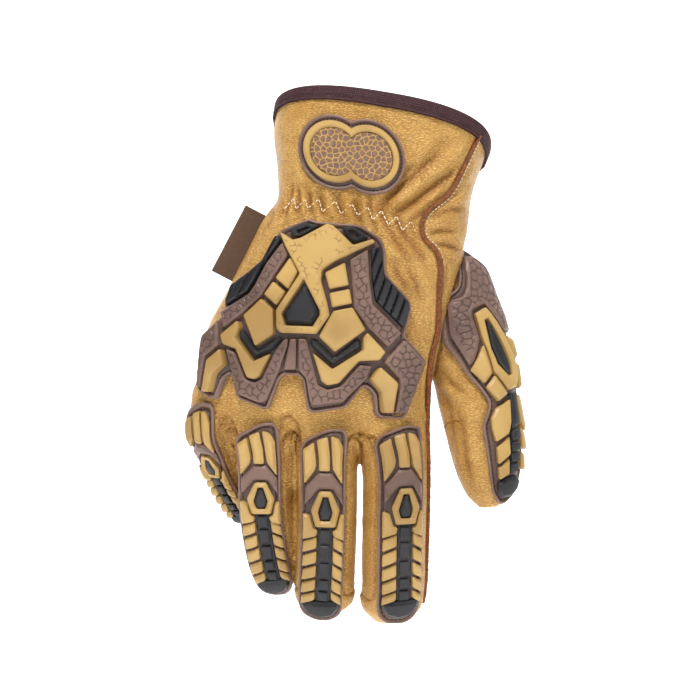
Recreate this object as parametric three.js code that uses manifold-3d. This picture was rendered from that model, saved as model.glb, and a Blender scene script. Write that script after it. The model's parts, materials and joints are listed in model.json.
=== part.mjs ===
// Right-hand leather work glove with moulded guards, filled out as on a hand.
// Millimetres. +X is the thumb side, -Y the back of the hand, +Z towards the cuff.
// The origin is the centre of the cuff's opening.

import * as THREE from 'three';
import ModuleFactory from 'manifold-3d';

const wasm = await ModuleFactory();
wasm.setup();
const { Manifold, Mesh: SolidMesh } = wasm;

// Hand and cuff
const palmLength = 148.5;
const palmBreadth = 115.6;
const palmDepth = 48;
const leatherWall = 1.6;
const pleatHeight = 0.6;
const foldHeight = 1.4;
const foldWidth = 4.2;

// Clearances
const seamGap = 0.3;
const seatGap = 0.3;

// Trim
const bindingWidth = 6.5;
const bindingThickness = 1.0;
const weltHeight = 2.4;
const weltThickness = 1.6;
const weltStartGap = 3;
const weltFingerStart = 0.12;
const weltFingerSide = 0.965;
const weltFingerRings = 9;
const tagWidth = 10.5;
const tagLength = 34;
const tagThickness = 1.2;
const tagRootShare = 0.35;
const tagDrops = [0.298, 0.502];
const badgeLobeRadius = 18.2;
const badgeLobeSpacing = 17.6;
const badgeFlange = 3.4;
const badgeRingWidth = 3.2;
const badgeThickness = 1.5;
const badgeRelief = 1.0;
const badgeRingHeight = 1.6;
const badgeCentre = [-0.132, 0.092];
const badgeSlope = -0.14;
const badgeArcSteps = 9;

// Moulded guards
const guardBreadth = 114.7;
const guardHeight = 0.66 * palmLength;
const guardCrown = 4;
const flangeThickness = 1.7;
const plateGap = 0.55;
const carrierThickness = 0.6;
const facetSlack = 0.35;
const liningSlack = 1.4;
const brownPlate = 2.6;
const tanPlate = 3.5;
const blackPlate = 2.2;
const keystoneFramePlate = 4.0;
const keystonePlate = 3.0;
const ridgePlate = 3.0;
const scalePlate = 2.4;
const collarPlate = 1.6;
const spineBlock = 1.8;

// Mesh resolution
const sleeveSides = 32;
const liningSides = 16;
const sleeveStep = 14;
const digitSides = 10;
const digitLiningSides = 8;
const handEdge = { across: 13, along: 40 };
const digitEdge = { across: 10, along: 22 };
const palmPartingStep = 4;
const digitPartingStep = 3;
const fourchetteRows = 2;

// Cuff and palm. drop is a share of palmLength below the origin; centre and breadth are shares of
// palmBreadth; forward and depth are shares of palmDepth; roll and tilt are in degrees; pleat is a
// share of pleatHeight.
const sleeveColumns = ['drop', 'centre', 'breadth', 'forward', 'depth', 'roll', 'tilt', 'pleat'];
const sleeveRows = [
  [0.000, 0.000, 0.915, 0.00, 1.38, 9.5, 29, 0.0],
  [0.076, -0.006, 0.903, 0.06, 1.33, 10, 25, 0.0],
  [0.162, -0.026, 0.841, 0.12, 1.21, 11, 20, 0.2],
  [0.250, -0.038, 0.808, 0.17, 1.11, 11.5, 16, 0.6],
  [0.307, -0.044, 0.800, 0.20, 1.06, 11.7, 13, 1.0],
  [0.360, -0.074, 0.843, 0.21, 1.07, 11, 10, 0.6],
  [0.432, -0.114, 0.873, 0.22, 1.08, 9, 8, 0.1],
  [0.571, -0.184, 0.928, 0.22, 1.04, 7, 4, 0.0],
  [0.719, -0.252, 0.979, 0.20, 0.98, 4, 2, 0.0],
  [0.851, -0.284, 0.983, 0.18, 0.90, 2, 0, 0.0],
  [0.950, -0.280, 0.957, 0.17, 0.76, 0, 0, 0.0],
  [1.000, -0.237, 0.856, 0.16, 0.60, 0, 0, 0.0],
];
const sleeveSquareness = 2.5;

// Folds raised in the leather. side and drop are shares of palmBreadth and palmLength, from the
// origin; rise and spread are shares of foldHeight and foldWidth.
const foldColumns = ['side1', 'drop1', 'side2', 'drop2', 'rise', 'spread'];
const folds = [
  [0.05, 0.35, 0.36, 0.13, 1.0, 1.0],
  [0.14, 0.34, 0.37, 0.22, 0.9, 0.9],
  [0.02, 0.25, 0.12, 0.16, 0.6, 0.8],
  [0.05, 0.42, 0.20, 0.40, 0.8, 0.9],
  [0.03, 0.53, 0.19, 0.50, 0.7, 1.1],
];

// Digits. The root is a share of palmBreadth, palmLength and palmDepth; twist turns the back of the
// digit about its axis, in degrees. Section columns: down, side and back are shares of the digit's
// length from its root, width and depth shares of the digit's own.
const digitColumns = ['down', 'side', 'back', 'width', 'depth'];
const digits = {
  index: {
    length: 108.8, width: 34.8, depth: 34, rootSide: 0.051, rootDrop: 0.901, rootForward: 0.175,
    twist: 11, guard: { from: 0.115, to: 0.99, spread: 0.66 },
    rows: [
      [0.000, 0.000, 0.000, 0.87, 1.00],
      [0.171, -0.007, -0.005, 1.00, 0.92],
      [0.248, 0.002, -0.005, 0.94, 0.87],
      [0.563, 0.005, 0.028, 0.92, 0.82],
      [0.721, 0.005, 0.074, 0.92, 0.79],
      [0.847, 0.005, 0.129, 0.90, 0.77],
      [0.935, 0.008, 0.176, 0.75, 0.64],
      [1.000, 0.018, 0.211, 0.25, 0.24],
    ],
  },
  middle: {
    length: 106.3, width: 33.3, depth: 34, rootSide: -0.229, rootDrop: 0.901, rootForward: 0.188,
    twist: -8, guard: { from: 0.137, to: 0.99, spread: 0.70 },
    rows: [
      [0.000, 0.000, 0.000, 0.91, 1.00],
      [0.147, -0.002, -0.005, 1.00, 0.92],
      [0.253, -0.002, -0.009, 0.91, 0.87],
      [0.576, -0.002, 0.028, 0.90, 0.82],
      [0.737, -0.005, 0.075, 0.88, 0.79],
      [0.857, -0.009, 0.127, 0.85, 0.74],
      [0.940, -0.012, 0.170, 0.70, 0.60],
      [1.000, -0.014, 0.202, 0.24, 0.21],
    ],
  },
  ring: {
    length: 100.0, width: 30.4, depth: 33, rootSide: -0.508, rootDrop: 0.875, rootForward: 0.160,
    twist: -15, guard: { from: 0.148, to: 0.985, spread: 0.72 },
    rows: [
      [0.000, 0.000, 0.000, 0.94, 1.00],
      [0.157, 0.005, -0.002, 1.00, 0.98],
      [0.284, 0.012, 0.010, 0.92, 0.86],
      [0.603, 0.034, 0.090, 0.89, 0.82],
      [0.750, 0.054, 0.150, 0.87, 0.79],
      [0.863, 0.074, 0.210, 0.81, 0.73],
      [0.945, 0.090, 0.262, 0.62, 0.57],
      [1.000, 0.103, 0.295, 0.19, 0.18],
    ],
  },
  little: {
    length: 60.3, width: 25.5, depth: 28, rootSide: -0.708, rootDrop: 0.875, rootForward: 0.120,
    twist: -40, guard: { from: 0.12, to: 0.985, spread: 0.80 },
    rows: [
      [-0.033, 0.000, 0.000, 1.00, 1.00],
      [0.170, 0.000, 0.030, 1.00, 1.00],
      [0.390, 0.058, 0.180, 0.96, 0.92],
      [0.577, 0.115, 0.340, 0.94, 0.88],
      [0.764, 0.196, 0.480, 0.92, 0.86],
      [0.902, 0.277, 0.590, 0.81, 0.75],
      [0.967, 0.325, 0.650, 0.58, 0.50],
      [1.000, 0.350, 0.690, 0.27, 0.22],
    ],
  },
  thumb: {
    length: 121.0, width: 37.2, depth: 35, rootSide: 0.265, rootDrop: 0.446, rootForward: 0.02,
    twist: 42, guard: { from: 0.0, to: 1.0, spread: 1.0 },
    rows: [
      [-0.016, -0.060, 0.000, 0.54, 0.74],
      [0.065, -0.005, 0.008, 0.74, 0.86],
      [0.178, 0.036, 0.017, 0.89, 0.94],
      [0.300, 0.065, 0.017, 1.00, 1.00],
      [0.429, 0.093, 0.008, 0.97, 1.00],
      [0.559, 0.113, 0.000, 0.96, 0.97],
      [0.680, 0.132, -0.008, 0.89, 0.91],
      [0.802, 0.144, -0.017, 0.79, 0.83],
      [0.891, 0.152, -0.025, 0.63, 0.69],
      [0.960, 0.158, -0.033, 0.42, 0.49],
      [1.000, 0.162, -0.037, 0.21, 0.23],
    ],
  },
};
const digitSquareness = 2.3;

// Outlines on the back of the hand, in hundredths of guardBreadth across and guardHeight down.
const guardLeftSide = -0.797;
const guardTopDrop = 0.304;
const frameOutline = [
  [49, 0], [51.5, 1.5], [66, 3], [71, 3.5], [80.5, 10.5], [82, 16.5], [82, 27.5], [92.5, 40.5],
  [93.5, 44.5], [90.5, 58.5], [99, 69.5], [100, 72], [91.5, 98], [89.5, 100], [80, 99.5], [78, 97],
  [77.5, 87.5], [73, 83], [65, 94.5], [50.5, 97], [48, 95], [46.5, 80], [44, 78], [38.5, 78],
  [36.5, 79.5], [31.5, 94.5], [29.5, 95], [19, 90], [17.5, 87.5], [15.5, 77], [12, 79.5], [8.5, 89.5],
  [6.5, 90], [1, 86], [0, 84], [1.5, 65.5], [2.5, 58], [10.5, 49.5], [12, 45.5], [15.5, 32],
  [22.5, 26], [28.5, 20.5], [35, 8], [37.5, 5],
];
const plates = {
  keystone_frame: {
    finish: 'tan', height: keystoneFramePlate,
    outline: [
      [57.5, 3.5], [60, 4.5], [68, 14], [76, 11], [77, 12.5], [60.5, 21.5], [55, 26], [54.5, 31.5],
      [57, 42], [58, 48.5], [52.5, 57.5], [37.5, 57], [36, 54.5], [36, 46], [46, 28], [40, 14],
      [38, 7.5], [43, 11.5], [46.5, 10.5],
    ],
    hole: [[47.5, 30.5], [54, 46], [54, 48.5], [51, 54], [39.5, 53.5], [38, 47.5]],
  },
  keystone: {
    finish: 'black', height: keystonePlate,
    outline: [[48, 33], [52.7, 46], [52.7, 48], [50.2, 52.5], [40.4, 52], [39.3, 48]],
  },
  slot_left: {
    finish: 'black', height: blackPlate,
    outline: [[41, 5.5], [48.5, 2.5], [53.5, 4], [46, 9], [43, 9.8]],
    hole: [[44, 6.2], [48.5, 4.4], [50, 5], [44.8, 8]],
  },
  slot_right: {
    finish: 'black', height: blackPlate,
    outline: [[63, 5], [68, 4.2], [74.5, 9.8], [69, 12.2], [67, 11.5]],
    hole: [[65.5, 6.5], [68, 6], [71, 9.2], [68.5, 10.2]],
  },
  wing_left: {
    finish: 'black', height: blackPlate,
    outline: [
      [35.5, 8.5], [37.3, 11], [30, 23], [25, 33], [23, 36.5], [13.3, 43.5], [16.5, 33], [23, 28],
      [29.5, 21.5],
    ],
  },
  wing_right: {
    finish: 'black', height: blackPlate,
    outline: [
      [75.5, 15.5], [79, 14.5], [80, 18.5], [80.7, 29], [91, 41.5], [91.8, 44.5], [89.3, 54.5],
      [77.5, 41], [76, 30.5],
    ],
  },
  arm_left: {
    finish: 'brown', height: brownPlate,
    outline: [
      [38.3, 12.5], [40.5, 18.5], [33.5, 31], [29, 39], [21.5, 47], [13.2, 54.5], [12, 46.5],
      [24.3, 37.7], [26.5, 34], [31.5, 23],
    ],
  },
  arm_right: {
    finish: 'brown', height: brownPlate,
    outline: [
      [66.7, 21], [74, 16], [74.6, 29.5], [76, 43], [88, 57], [82.5, 64], [74.3, 54.5], [68.3, 45],
      [67.5, 30.5],
    ],
  },
  quad_left_1: {
    finish: 'tan', height: tanPlate,
    outline: [[42, 20], [45, 27], [41, 35.5], [35.8, 30]],
  },
  quad_left_2: {
    finish: 'tan', height: tanPlate,
    outline: [[34.8, 31.8], [39.7, 37], [36, 43.5], [31, 38]],
  },
  quad_left_3: {
    finish: 'tan', height: tanPlate,
    outline: [[29.8, 40.2], [34.5, 45.5], [34.5, 57.5], [27, 63.5], [22.3, 48.5]],
  },
  quad_right_1: {
    finish: 'tan', height: tanPlate,
    outline: [[64.5, 22.5], [66, 33.5], [58, 35.5], [56.3, 27.5]],
  },
  quad_right_2: {
    finish: 'tan', height: tanPlate,
    outline: [[58, 37.5], [66.3, 35.5], [67.3, 42.5], [59, 44.5]],
  },
  quad_right_3: {
    finish: 'tan', height: tanPlate,
    outline: [[59.6, 46.3], [67.5, 44.5], [72.8, 55.5], [60, 66.5], [53.5, 58.8]],
  },
  chevron_left: {
    finish: 'black', height: blackPlate,
    outline: [[20.8, 55], [27, 65.7], [36, 58.7], [38, 60.5], [33, 66], [26.5, 69.5], [19.5, 58.5]],
  },
  chevron_right: {
    finish: 'black', height: blackPlate,
    outline: [
      [50, 59.8], [53, 61], [59.8, 69], [70, 59.5], [71, 61.5], [71.2, 64.5], [59.5, 73.2], [57.5, 72],
      [49.8, 63],
    ],
  },
  vee_left: {
    finish: 'tan', height: tanPlate,
    outline: [
      [19.7, 51], [20.4, 54], [18.7, 59.5], [26, 71.3], [33.3, 67.5], [28.5, 78.5], [26.5, 80],
      [23.5, 79], [19, 65], [13.5, 62.5], [12.5, 58],
    ],
  },
  vee_right: {
    finish: 'tan', height: tanPlate,
    outline: [
      [73.7, 57], [81, 66.5], [78.5, 70.5], [70, 71], [61.5, 82], [57, 83], [54.5, 81], [51, 67],
      [59, 75], [72, 65.5], [72, 59.5],
    ],
  },
  lobe_left: {
    finish: 'brown', height: brownPlate,
    outline: [
      [14.5, 65], [18, 66.5], [22.3, 80], [26.5, 81.7], [29.7, 80], [35, 66.5], [38.8, 60.5], [40.3, 59.7],
      [40.3, 63], [36.8, 75], [31, 90.5], [28.5, 91.8], [19.5, 87.5], [18.8, 85.5],
    ],
  },
  lobe_right: {
    finish: 'brown', height: brownPlate,
    outline: [
      [45, 60], [48, 60], [53, 83], [57, 85.3], [62.5, 83.5], [70.5, 73], [75.5, 73.5], [73.5, 79.5],
      [63.5, 91], [51, 93], [49.7, 91.5], [48, 79.5], [45, 75.5],
    ],
  },
  rib_centre: {
    finish: 'brown', height: brownPlate,
    outline: [[41.5, 60], [43.9, 60], [43.7, 75], [38.8, 75]],
  },
  flank_left: {
    finish: 'brown', height: brownPlate,
    outline: [[10.8, 50.8], [11, 63], [5.3, 68.5], [3, 84.5], [1.5, 83.5], [2.8, 65.5], [3.8, 58.5]],
  },
  dogleg_left: {
    finish: 'tan', height: tanPlate,
    outline: [[12.2, 65], [13.5, 72.5], [9.2, 77], [7, 86.5], [4.4, 86], [6.6, 70.5]],
  },
  flank_right: {
    finish: 'brown', height: brownPlate,
    outline: [[89.5, 60.5], [98, 71.5], [90.3, 97], [85.7, 97], [87.7, 83.5], [87.5, 80], [81, 71.5]],
  },
  dogleg_right: {
    finish: 'tan', height: tanPlate,
    outline: [[79, 74], [86.3, 82], [84.2, 96.8], [80.5, 96.8], [79.5, 86.3], [75, 79.8]],
  },
};

// Outlines on a finger's guard: across from -1 to 1 of its spread, down from 0 to 1 of its length.
const fingerGuard = {
  base: [
    [0.00, -0.20, 0.85], [0.04, -0.80, 0.96], [0.12, -1.00, 1.00], [0.26, -1.00, 1.00],
    [0.40, -1.00, 1.00], [0.54, -1.00, 1.00], [0.67, -1.00, 1.00], [0.79, -1.00, 1.00],
    [0.89, -1.00, 1.00], [0.95, -0.75, 0.75], [1.00, -0.25, 0.30],
  ],
  ridges: [
    [[-0.66, 0.08], [-0.3, 0.065], [-0.2, 0.18], [-0.62, 0.26]],
    [[-0.18, 0.055], [0.24, 0.045], [0.3, 0.13], [0.3, 0.195], [-0.1, 0.195]],
    [[0.38, 0.045], [0.72, 0.055], [0.78, 0.255], [0.42, 0.195]],
  ],
  ridgeCarrier: [[-0.5, 0.075], [0.6, 0.06], [0.6, 0.18], [-0.5, 0.18]],
  collar: [
    [-0.12, 0.215], [0.4, 0.215], [0.8, 0.285], [0.82, 0.37], [0.42, 0.287], [-0.12, 0.287], [-0.64, 0.37],
    [-0.64, 0.3],
  ],
  ring: [[-0.1, 0.305], [0.38, 0.305], [0.72, 0.4], [0.56, 0.492], [-0.3, 0.492], [-0.5, 0.4]],
  ringHole: [[0.0, 0.335], [0.28, 0.335], [0.48, 0.42], [0.36, 0.468], [-0.12, 0.468], [-0.24, 0.42]],
  insert: [[0.35, 0.05, 0.23], [0.42, -0.15, 0.39], [0.455, -0.06, 0.3]],
  scales: [
    { inner: -0.16, outer: -0.72, rows: [[0.505, 0.58], [0.59, 0.675], [0.685, 0.77], [0.78, 0.87]] },
    { inner: 0.46, outer: 0.82, rows: [[0.505, 0.58], [0.59, 0.675], [0.685, 0.77], [0.78, 0.865]] },
  ],
  scaleStart: 0.45,
  spineBlocks: [[0.508, 0.575], [0.59, 0.655], [0.675, 0.74], [0.76, 0.805], [0.82, 0.862]],
  spine: [-0.07, 0.37],
  tipCap: [[0.89, -0.72, 0.74], [0.945, -0.6, 0.6], [0.975, -0.12, 0.14]],
};

// Outlines on the thumb's guard, with the same shares.
const thumbGuard = {
  base: [
    [0.00, -0.10, 0.30], [0.03, -0.30, 0.42], [0.14, -0.55, 0.60], [0.17, -0.86, 0.64],
    [0.22, -0.93, 0.70], [0.30, -0.95, 0.75], [0.36, -0.95, 0.78], [0.42, -0.92, 0.78],
    [0.48, -0.70, 0.70], [0.55, -0.50, 0.64], [0.59, -0.42, 0.62], [0.66, -0.62, 0.64],
    [0.77, -0.58, 0.62], [0.83, -0.55, 0.58], [0.89, -0.50, 0.55], [0.95, -0.30, 0.30],
    [0.98, -0.10, 0.10],
  ],
  ridges: [
    [[-0.36, 0.34], [-0.24, 0.43], [-0.4, 0.5], [-0.62, 0.44]],
    [[-0.2, 0.455], [0.02, 0.495], [-0.06, 0.535], [-0.34, 0.53]],
  ],
  ridgeCarrier: [[-0.4, 0.44], [-0.2, 0.465], [-0.1, 0.5], [-0.3, 0.515], [-0.5, 0.47]],
  collar: [
    [0.12, 0.03], [-0.1, 0.04], [-0.4, 0.16], [-0.8, 0.2], [-0.86, 0.35], [-0.66, 0.42], [-0.38, 0.32],
    [-0.32, 0.19], [0.08, 0.17],
  ],
  ring: [[-0.24, 0.21], [0.14, 0.2], [0.66, 0.38], [0.66, 0.49], [0.46, 0.52], [-0.1, 0.435], [-0.26, 0.32]],
  ringHole: [[-0.1, 0.24], [0.1, 0.235], [0.5, 0.38], [0.5, 0.45], [0.4, 0.465], [0.02, 0.4], [-0.1, 0.32]],
  insert: [[0.26, -0.02, 0.05], [0.31, -0.02, 0.19], [0.38, 0.12, 0.37], [0.42, 0.27, 0.37]],
  scales: [
    { inner: 0.02, outer: -0.4, rows: [[0.57, 0.74], [0.755, 0.82], [0.83, 0.89]] },
    { inner: 0.38, outer: 0.58, rows: [[0.575, 0.66], [0.675, 0.745], [0.755, 0.82], [0.83, 0.87]] },
  ],
  scaleStart: 0.545,
  bridges: [[[0.5, 0.4, 0.5], [0.56, 0.4, 0.5]], [[0.547, -0.04, 0.5], [0.565, -0.04, 0.5]]],
  spineBlocks: [[0.575, 0.66], [0.68, 0.715], [0.73, 0.77], [0.785, 0.82], [0.835, 0.865]],
  spine: [0.08, 0.32],
  tipCap: [[0.9, -0.3, 0.42], [0.93, -0.26, 0.3], [0.955, -0.1, 0.12]],
};

// Seam along the thumb side of the back, shares of palmBreadth and palmLength from the origin.
const seamPath = [
  [0.402, 0.040], [0.352, 0.119], [0.288, 0.215], [0.178, 0.294], [0.162, 0.330], [0.178, 0.377],
  [0.225, 0.410], [0.244, 0.472], [0.236, 0.574], [0.232, 0.677], [0.208, 0.752], [0.194, 0.840],
  [0.188, 1.000],
];
const weltEndDrop = 1.52;

// Materials
const finishes = {
  leather: new THREE.MeshStandardMaterial({ color: 0xc08a45, roughness: 0.6, metalness: 0 }),
  leatherDark: new THREE.MeshStandardMaterial({ color: 0xb07c3a, roughness: 0.65, metalness: 0 }),
  binding: new THREE.MeshStandardMaterial({ color: 0x4a3233, roughness: 0.9, metalness: 0 }),
  suede: new THREE.MeshStandardMaterial({ color: 0x7a4519, roughness: 0.95, metalness: 0 }),
  brown: new THREE.MeshStandardMaterial({ color: 0x6e4f45, roughness: 0.6, metalness: 0 }),
  tan: new THREE.MeshStandardMaterial({ color: 0xc39a55, roughness: 0.55, metalness: 0 }),
  black: new THREE.MeshStandardMaterial({ color: 0x26262a, roughness: 0.5, metalness: 0 }),
};

// Reads a row of a table as an object with its column names.
function record(columns, row) {
  return Object.fromEntries(columns.map((column, i) => [column, row[i]]));
}

const mix = THREE.MathUtils.lerp;
const slopeOf = (degrees) => Math.tan(THREE.MathUtils.degToRad(degrees));

// Cosine and sine of a rounded rectangle's section, squarer with a larger squareness.
function squircle(angle, squareness) {
  const power = 2 / squareness;
  const c = Math.cos(angle);
  const s = Math.sin(angle);
  return [Math.sign(c) * Math.abs(c) ** power, Math.sign(s) * Math.abs(s) ** power];
}

// Closed solid from shared vertices and triangles, turned so that its faces point out.
function solidFrom(points, triangles) {
  let volume = 0;
  for (const [a, b, c] of triangles) {
    volume += points[a].dot(new THREE.Vector3().crossVectors(points[b], points[c]));
  }
  const outward = volume < 0 ? triangles.map(([a, b, c]) => [a, c, b]) : triangles;
  return new Manifold(new SolidMesh({
    numProp: 3,
    vertProperties: Float32Array.from(points.flatMap((p) => [p.x, p.y, p.z])),
    triVerts: Uint32Array.from(outward.flat()),
  }));
}

// Solid through a list of rings with an even number of points, closed by strips at each end.
function loft(rings) {
  const sides = rings[0].length;
  const points = rings.flat();
  const triangles = [];
  for (let r = 0; r + 1 < rings.length; r += 1) {
    for (let i = 0; i < sides; i += 1) {
      const a = r * sides + i;
      const b = r * sides + ((i + 1) % sides);
      triangles.push([a, b, a + sides], [b, b + sides, a + sides]);
    }
  }
  for (const first of [0, (rings.length - 1) * sides]) {
    for (let i = 0; i + 1 < sides / 2; i += 1) {
      const quad = [i, i + 1, sides - 2 - i, sides - 1 - i].map((v) => first + v);
      const [p, q, r, t] = first === 0 ? quad.reverse() : quad;
      triangles.push(...[[p, q, r], [p, r, t]].filter(([u, v, w]) => u !== v && v !== w && w !== u));
    }
  }
  return solidFrom(points, triangles);
}

// Solid through rings of points that come round to the first one again.
function closedLoft(rings) {
  const sides = rings[0].length;
  const triangles = [];
  for (let r = 0; r < rings.length; r += 1) {
    const start = r * sides;
    const after = ((r + 1) % rings.length) * sides;
    for (let i = 0; i < sides; i += 1) {
      const next = (i + 1) % sides;
      triangles.push([start + i, start + next, after + i], [start + next, after + next, after + i]);
    }
  }
  return solidFrom(rings.flat(), triangles);
}

// Largest connected body of a cut solid.
function largest(solid) {
  const bodies = new Manifold(solid.getMesh()).decompose();
  return bodies.reduce((best, body) => (body.volume() > best.volume() ? body : best));
}

function union(solids) {
  return solids.reduce((sum, solid) => sum.add(solid));
}

// Section of the cuff and palm at a share of palmLength, with its sizes in millimetres.
function sleeveSection(drop) {
  const rows = sleeveRows.map((row) => record(sleeveColumns, row));
  const last = rows.length - 2;
  const found = rows.findIndex((row, i) => i > 0 && drop <= row.drop) - 1;
  const i = found < 0 ? (drop <= 0 ? 0 : last) : found;
  const t = (drop - rows[i].drop) / (rows[i + 1].drop - rows[i].drop);
  const at = (column) => mix(rows[i][column], rows[i + 1][column], t);
  return {
    drop: -drop * palmLength,
    centre: at('centre') * palmBreadth,
    half: (at('breadth') * palmBreadth) / 2,
    forward: -at('forward') * palmDepth,
    deep: (at('depth') * palmDepth) / 2,
    roll: mix(slopeOf(rows[i].roll), slopeOf(rows[i + 1].roll), t),
    tilt: mix(slopeOf(rows[i].tilt), slopeOf(rows[i + 1].tilt), t),
    pleat: Math.max(0, at('pleat')) * pleatHeight,
  };
}

function foldRise(x, z) {
  let rise = 0;
  for (const row of folds) {
    const fold = record(foldColumns, row);
    const start = new THREE.Vector2(fold.side1 * palmBreadth, -fold.drop1 * palmLength);
    const along = new THREE.Vector2(fold.side2 * palmBreadth, -fold.drop2 * palmLength).sub(start);
    const offset = new THREE.Vector2(x, z).sub(start);
    const share = THREE.MathUtils.clamp(offset.dot(along) / along.lengthSq(), 0, 1);
    const away = offset.sub(along.multiplyScalar(share)).length() / (fold.spread * foldWidth);
    rise += fold.rise * foldHeight * Math.exp(-away * away);
  }
  return rise;
}

// Point on the cuff and palm, offset outwards. The angle is 0 at the thumb side, 90 at the back of
// the hand.
function sleevePoint(section, angle, offset) {
  const [c, s] = squircle(angle, sleeveSquareness);
  const across = (section.half + offset) * c;
  const front = (section.deep + offset) * s;
  return new THREE.Vector3(
    section.centre + across,
    section.forward - front,
    section.drop - across * section.roll + front * section.tilt,
  );
}

// Cuff and palm as one solid, from above the rim to below the palm by the lengths given. A form with
// liningSides has no pleats of its own.
function sleeveSolid(offset, above, end, sides) {
  const count = Math.ceil(palmLength / sleeveStep);
  const drops = Array.from({ length: count }, (_, i) => i / count).concat(1 + end / palmLength);
  if (above > 0) {
    drops.unshift(-above / palmLength);
  }
  return loft(drops.map((drop) => {
    const section = sleeveSection(drop);
    const ring = [];
    for (let i = 0; i < sides; i += 1) {
      const angle = (i * 2 * Math.PI) / sides;
      const bare = sleevePoint(section, angle, 0);
      const fold = Math.sin(angle) > 0 ? foldRise(bare.x, bare.z) * Math.sin(angle) : 0;
      const valley = sides === sleeveSides && i % 2 === 1;
      ring.push(sleevePoint(section, angle, offset + fold + (valley ? -section.pleat : section.pleat)));
    }
    return ring;
  }));
}

// Sections of a digit, each with its centre, half sizes and directions.
function digitSections(digit) {
  const root = new THREE.Vector3(
    digit.rootSide * palmBreadth,
    -digit.rootForward * palmDepth,
    -digit.rootDrop * palmLength,
  );
  const rows = digit.rows.map((row) => record(digitColumns, row));
  const centres = rows.map((row) => new THREE.Vector3(row.side, row.back, -row.down)
    .multiplyScalar(digit.length).add(root));
  const twist = THREE.MathUtils.degToRad(digit.twist);
  const facing = new THREE.Vector3(Math.sin(twist), -Math.cos(twist), 0);
  return rows.map((row, i) => {
    const before = Math.max(0, i - 1);
    const after = Math.min(rows.length - 1, i + 1);
    const along = centres[after].clone().sub(centres[before]);
    const shrink = ((rows[before].width - rows[after].width) * digit.width) / 2 / along.length();
    const lean = i > rows.length / 2 ? Math.atan(shrink) : 0;
    const axis = along.normalize();
    const back = facing.clone().addScaledVector(axis, -facing.dot(axis)).normalize();
    return {
      down: row.down,
      centre: centres[i],
      axis,
      back,
      side: new THREE.Vector3().crossVectors(back, axis),
      half: (row.width * digit.width) / 2,
      deep: (row.depth * digit.depth) / 2,
      lean,
    };
  });
}

for (const digit of Object.values(digits)) {
  digit.sections = digitSections(digit);
}

// Section of a digit at a share of its length.
function digitSection({ sections }, down) {
  const last = sections.length - 2;
  const found = sections.findIndex((section, i) => i > 0 && down <= section.down) - 1;
  const i = found < 0 ? (down <= sections[0].down ? 0 : last) : found;
  const [from, to] = [sections[i], sections[i + 1]];
  const t = (down - from.down) / (to.down - from.down);
  const blend = (key) => from[key].clone().lerp(to[key], t);
  return {
    centre: blend('centre'),
    axis: blend('axis'),
    back: blend('back'),
    side: blend('side'),
    half: mix(from.half, to.half, t),
    deep: mix(from.deep, to.deep, t),
    lean: mix(from.lean, to.lean, t),
  };
}

// Point on a digit's section, offset outwards along its surface. The angle is 90 at its back.
function digitPoint(section, angle, offset) {
  const [c, s] = squircle(angle, digitSquareness);
  const radial = offset * Math.cos(section.lean);
  return section.centre.clone()
    .addScaledVector(section.side, (section.half + radial) * c)
    .addScaledVector(section.back, (section.deep + radial) * s)
    .addScaledVector(section.axis, offset * Math.sin(section.lean));
}

function digitSolid(digit, offset, sides = digitSides) {
  const rings = digit.sections.map((section) => {
    const ring = [];
    for (let i = 0; i < sides; i += 1) {
      ring.push(digitPoint(section, (i * 2 * Math.PI) / sides, offset));
    }
    return ring;
  });
  return loft(rings);
}

// Place on the back of the hand above a point of the front view, at a height over the leather.
function onHand(x, z, height) {
  let drop = -z / palmLength;
  let angle = Math.PI / 2;
  let section = sleeveSection(drop);
  for (let pass = 0; pass < 12; pass += 1) {
    section = sleeveSection(drop);
    const share = THREE.MathUtils.clamp((x - section.centre) / (section.half + guardCrown), -0.985, 0.985);
    angle = Math.acos(Math.sign(share) * Math.abs(share) ** (sleeveSquareness / 2));
    const crown = sleevePoint(section, angle, guardCrown);
    drop += (crown.z - z) / palmLength;
  }
  return sleevePoint(section, angle, height);
}

// Place on a digit: across from -1 to 1 of its half width, down as a share of its length.
function onDigit(digit, across, down, height) {
  const share = THREE.MathUtils.clamp(across, -0.985, 0.985);
  const angle = Math.acos(Math.sign(share) * Math.abs(share) ** (digitSquareness / 2));
  return digitPoint(digitSection(digit, down), angle, height);
}

// Splits every edge longer than allowed across or along at its middle, keeping shared edges shared.
function splitLongEdges(points, triangles, longest) {
  const middles = new Map();
  const middle = (a, b) => {
    const span = points[b].clone().sub(points[a]);
    if (Math.hypot(span.x / longest.across, span.y / longest.along) <= 1) {
      return -1;
    }
    const key = a < b ? `${a}:${b}` : `${b}:${a}`;
    if (!middles.has(key)) {
      middles.set(key, points.length);
      points.push(points[a].clone().lerp(points[b], 0.5));
    }
    return middles.get(key);
  };
  const result = [];
  for (const [a, b, c] of triangles) {
    const ab = middle(a, b);
    const bc = middle(b, c);
    const ca = middle(c, a);
    const ring = [a, ab, b, bc, c, ca].filter((v) => v >= 0);
    if (ring.length === 3) {
      result.push(ring);
    } else if (ring.length === 6) {
      result.push([a, ab, ca], [ab, b, bc], [ca, bc, c], [ab, bc, ca]);
    } else {
      const start = ring.indexOf([ab, bc, ca].find((v) => v >= 0));
      const turned = ring.slice(start).concat(ring.slice(0, start));
      for (let i = 1; i + 1 < turned.length; i += 1) {
        result.push([turned[0], turned[i], turned[i + 1]]);
      }
    }
  }
  return middles.size > 0 ? splitLongEdges(points, result, longest) : result;
}

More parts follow.
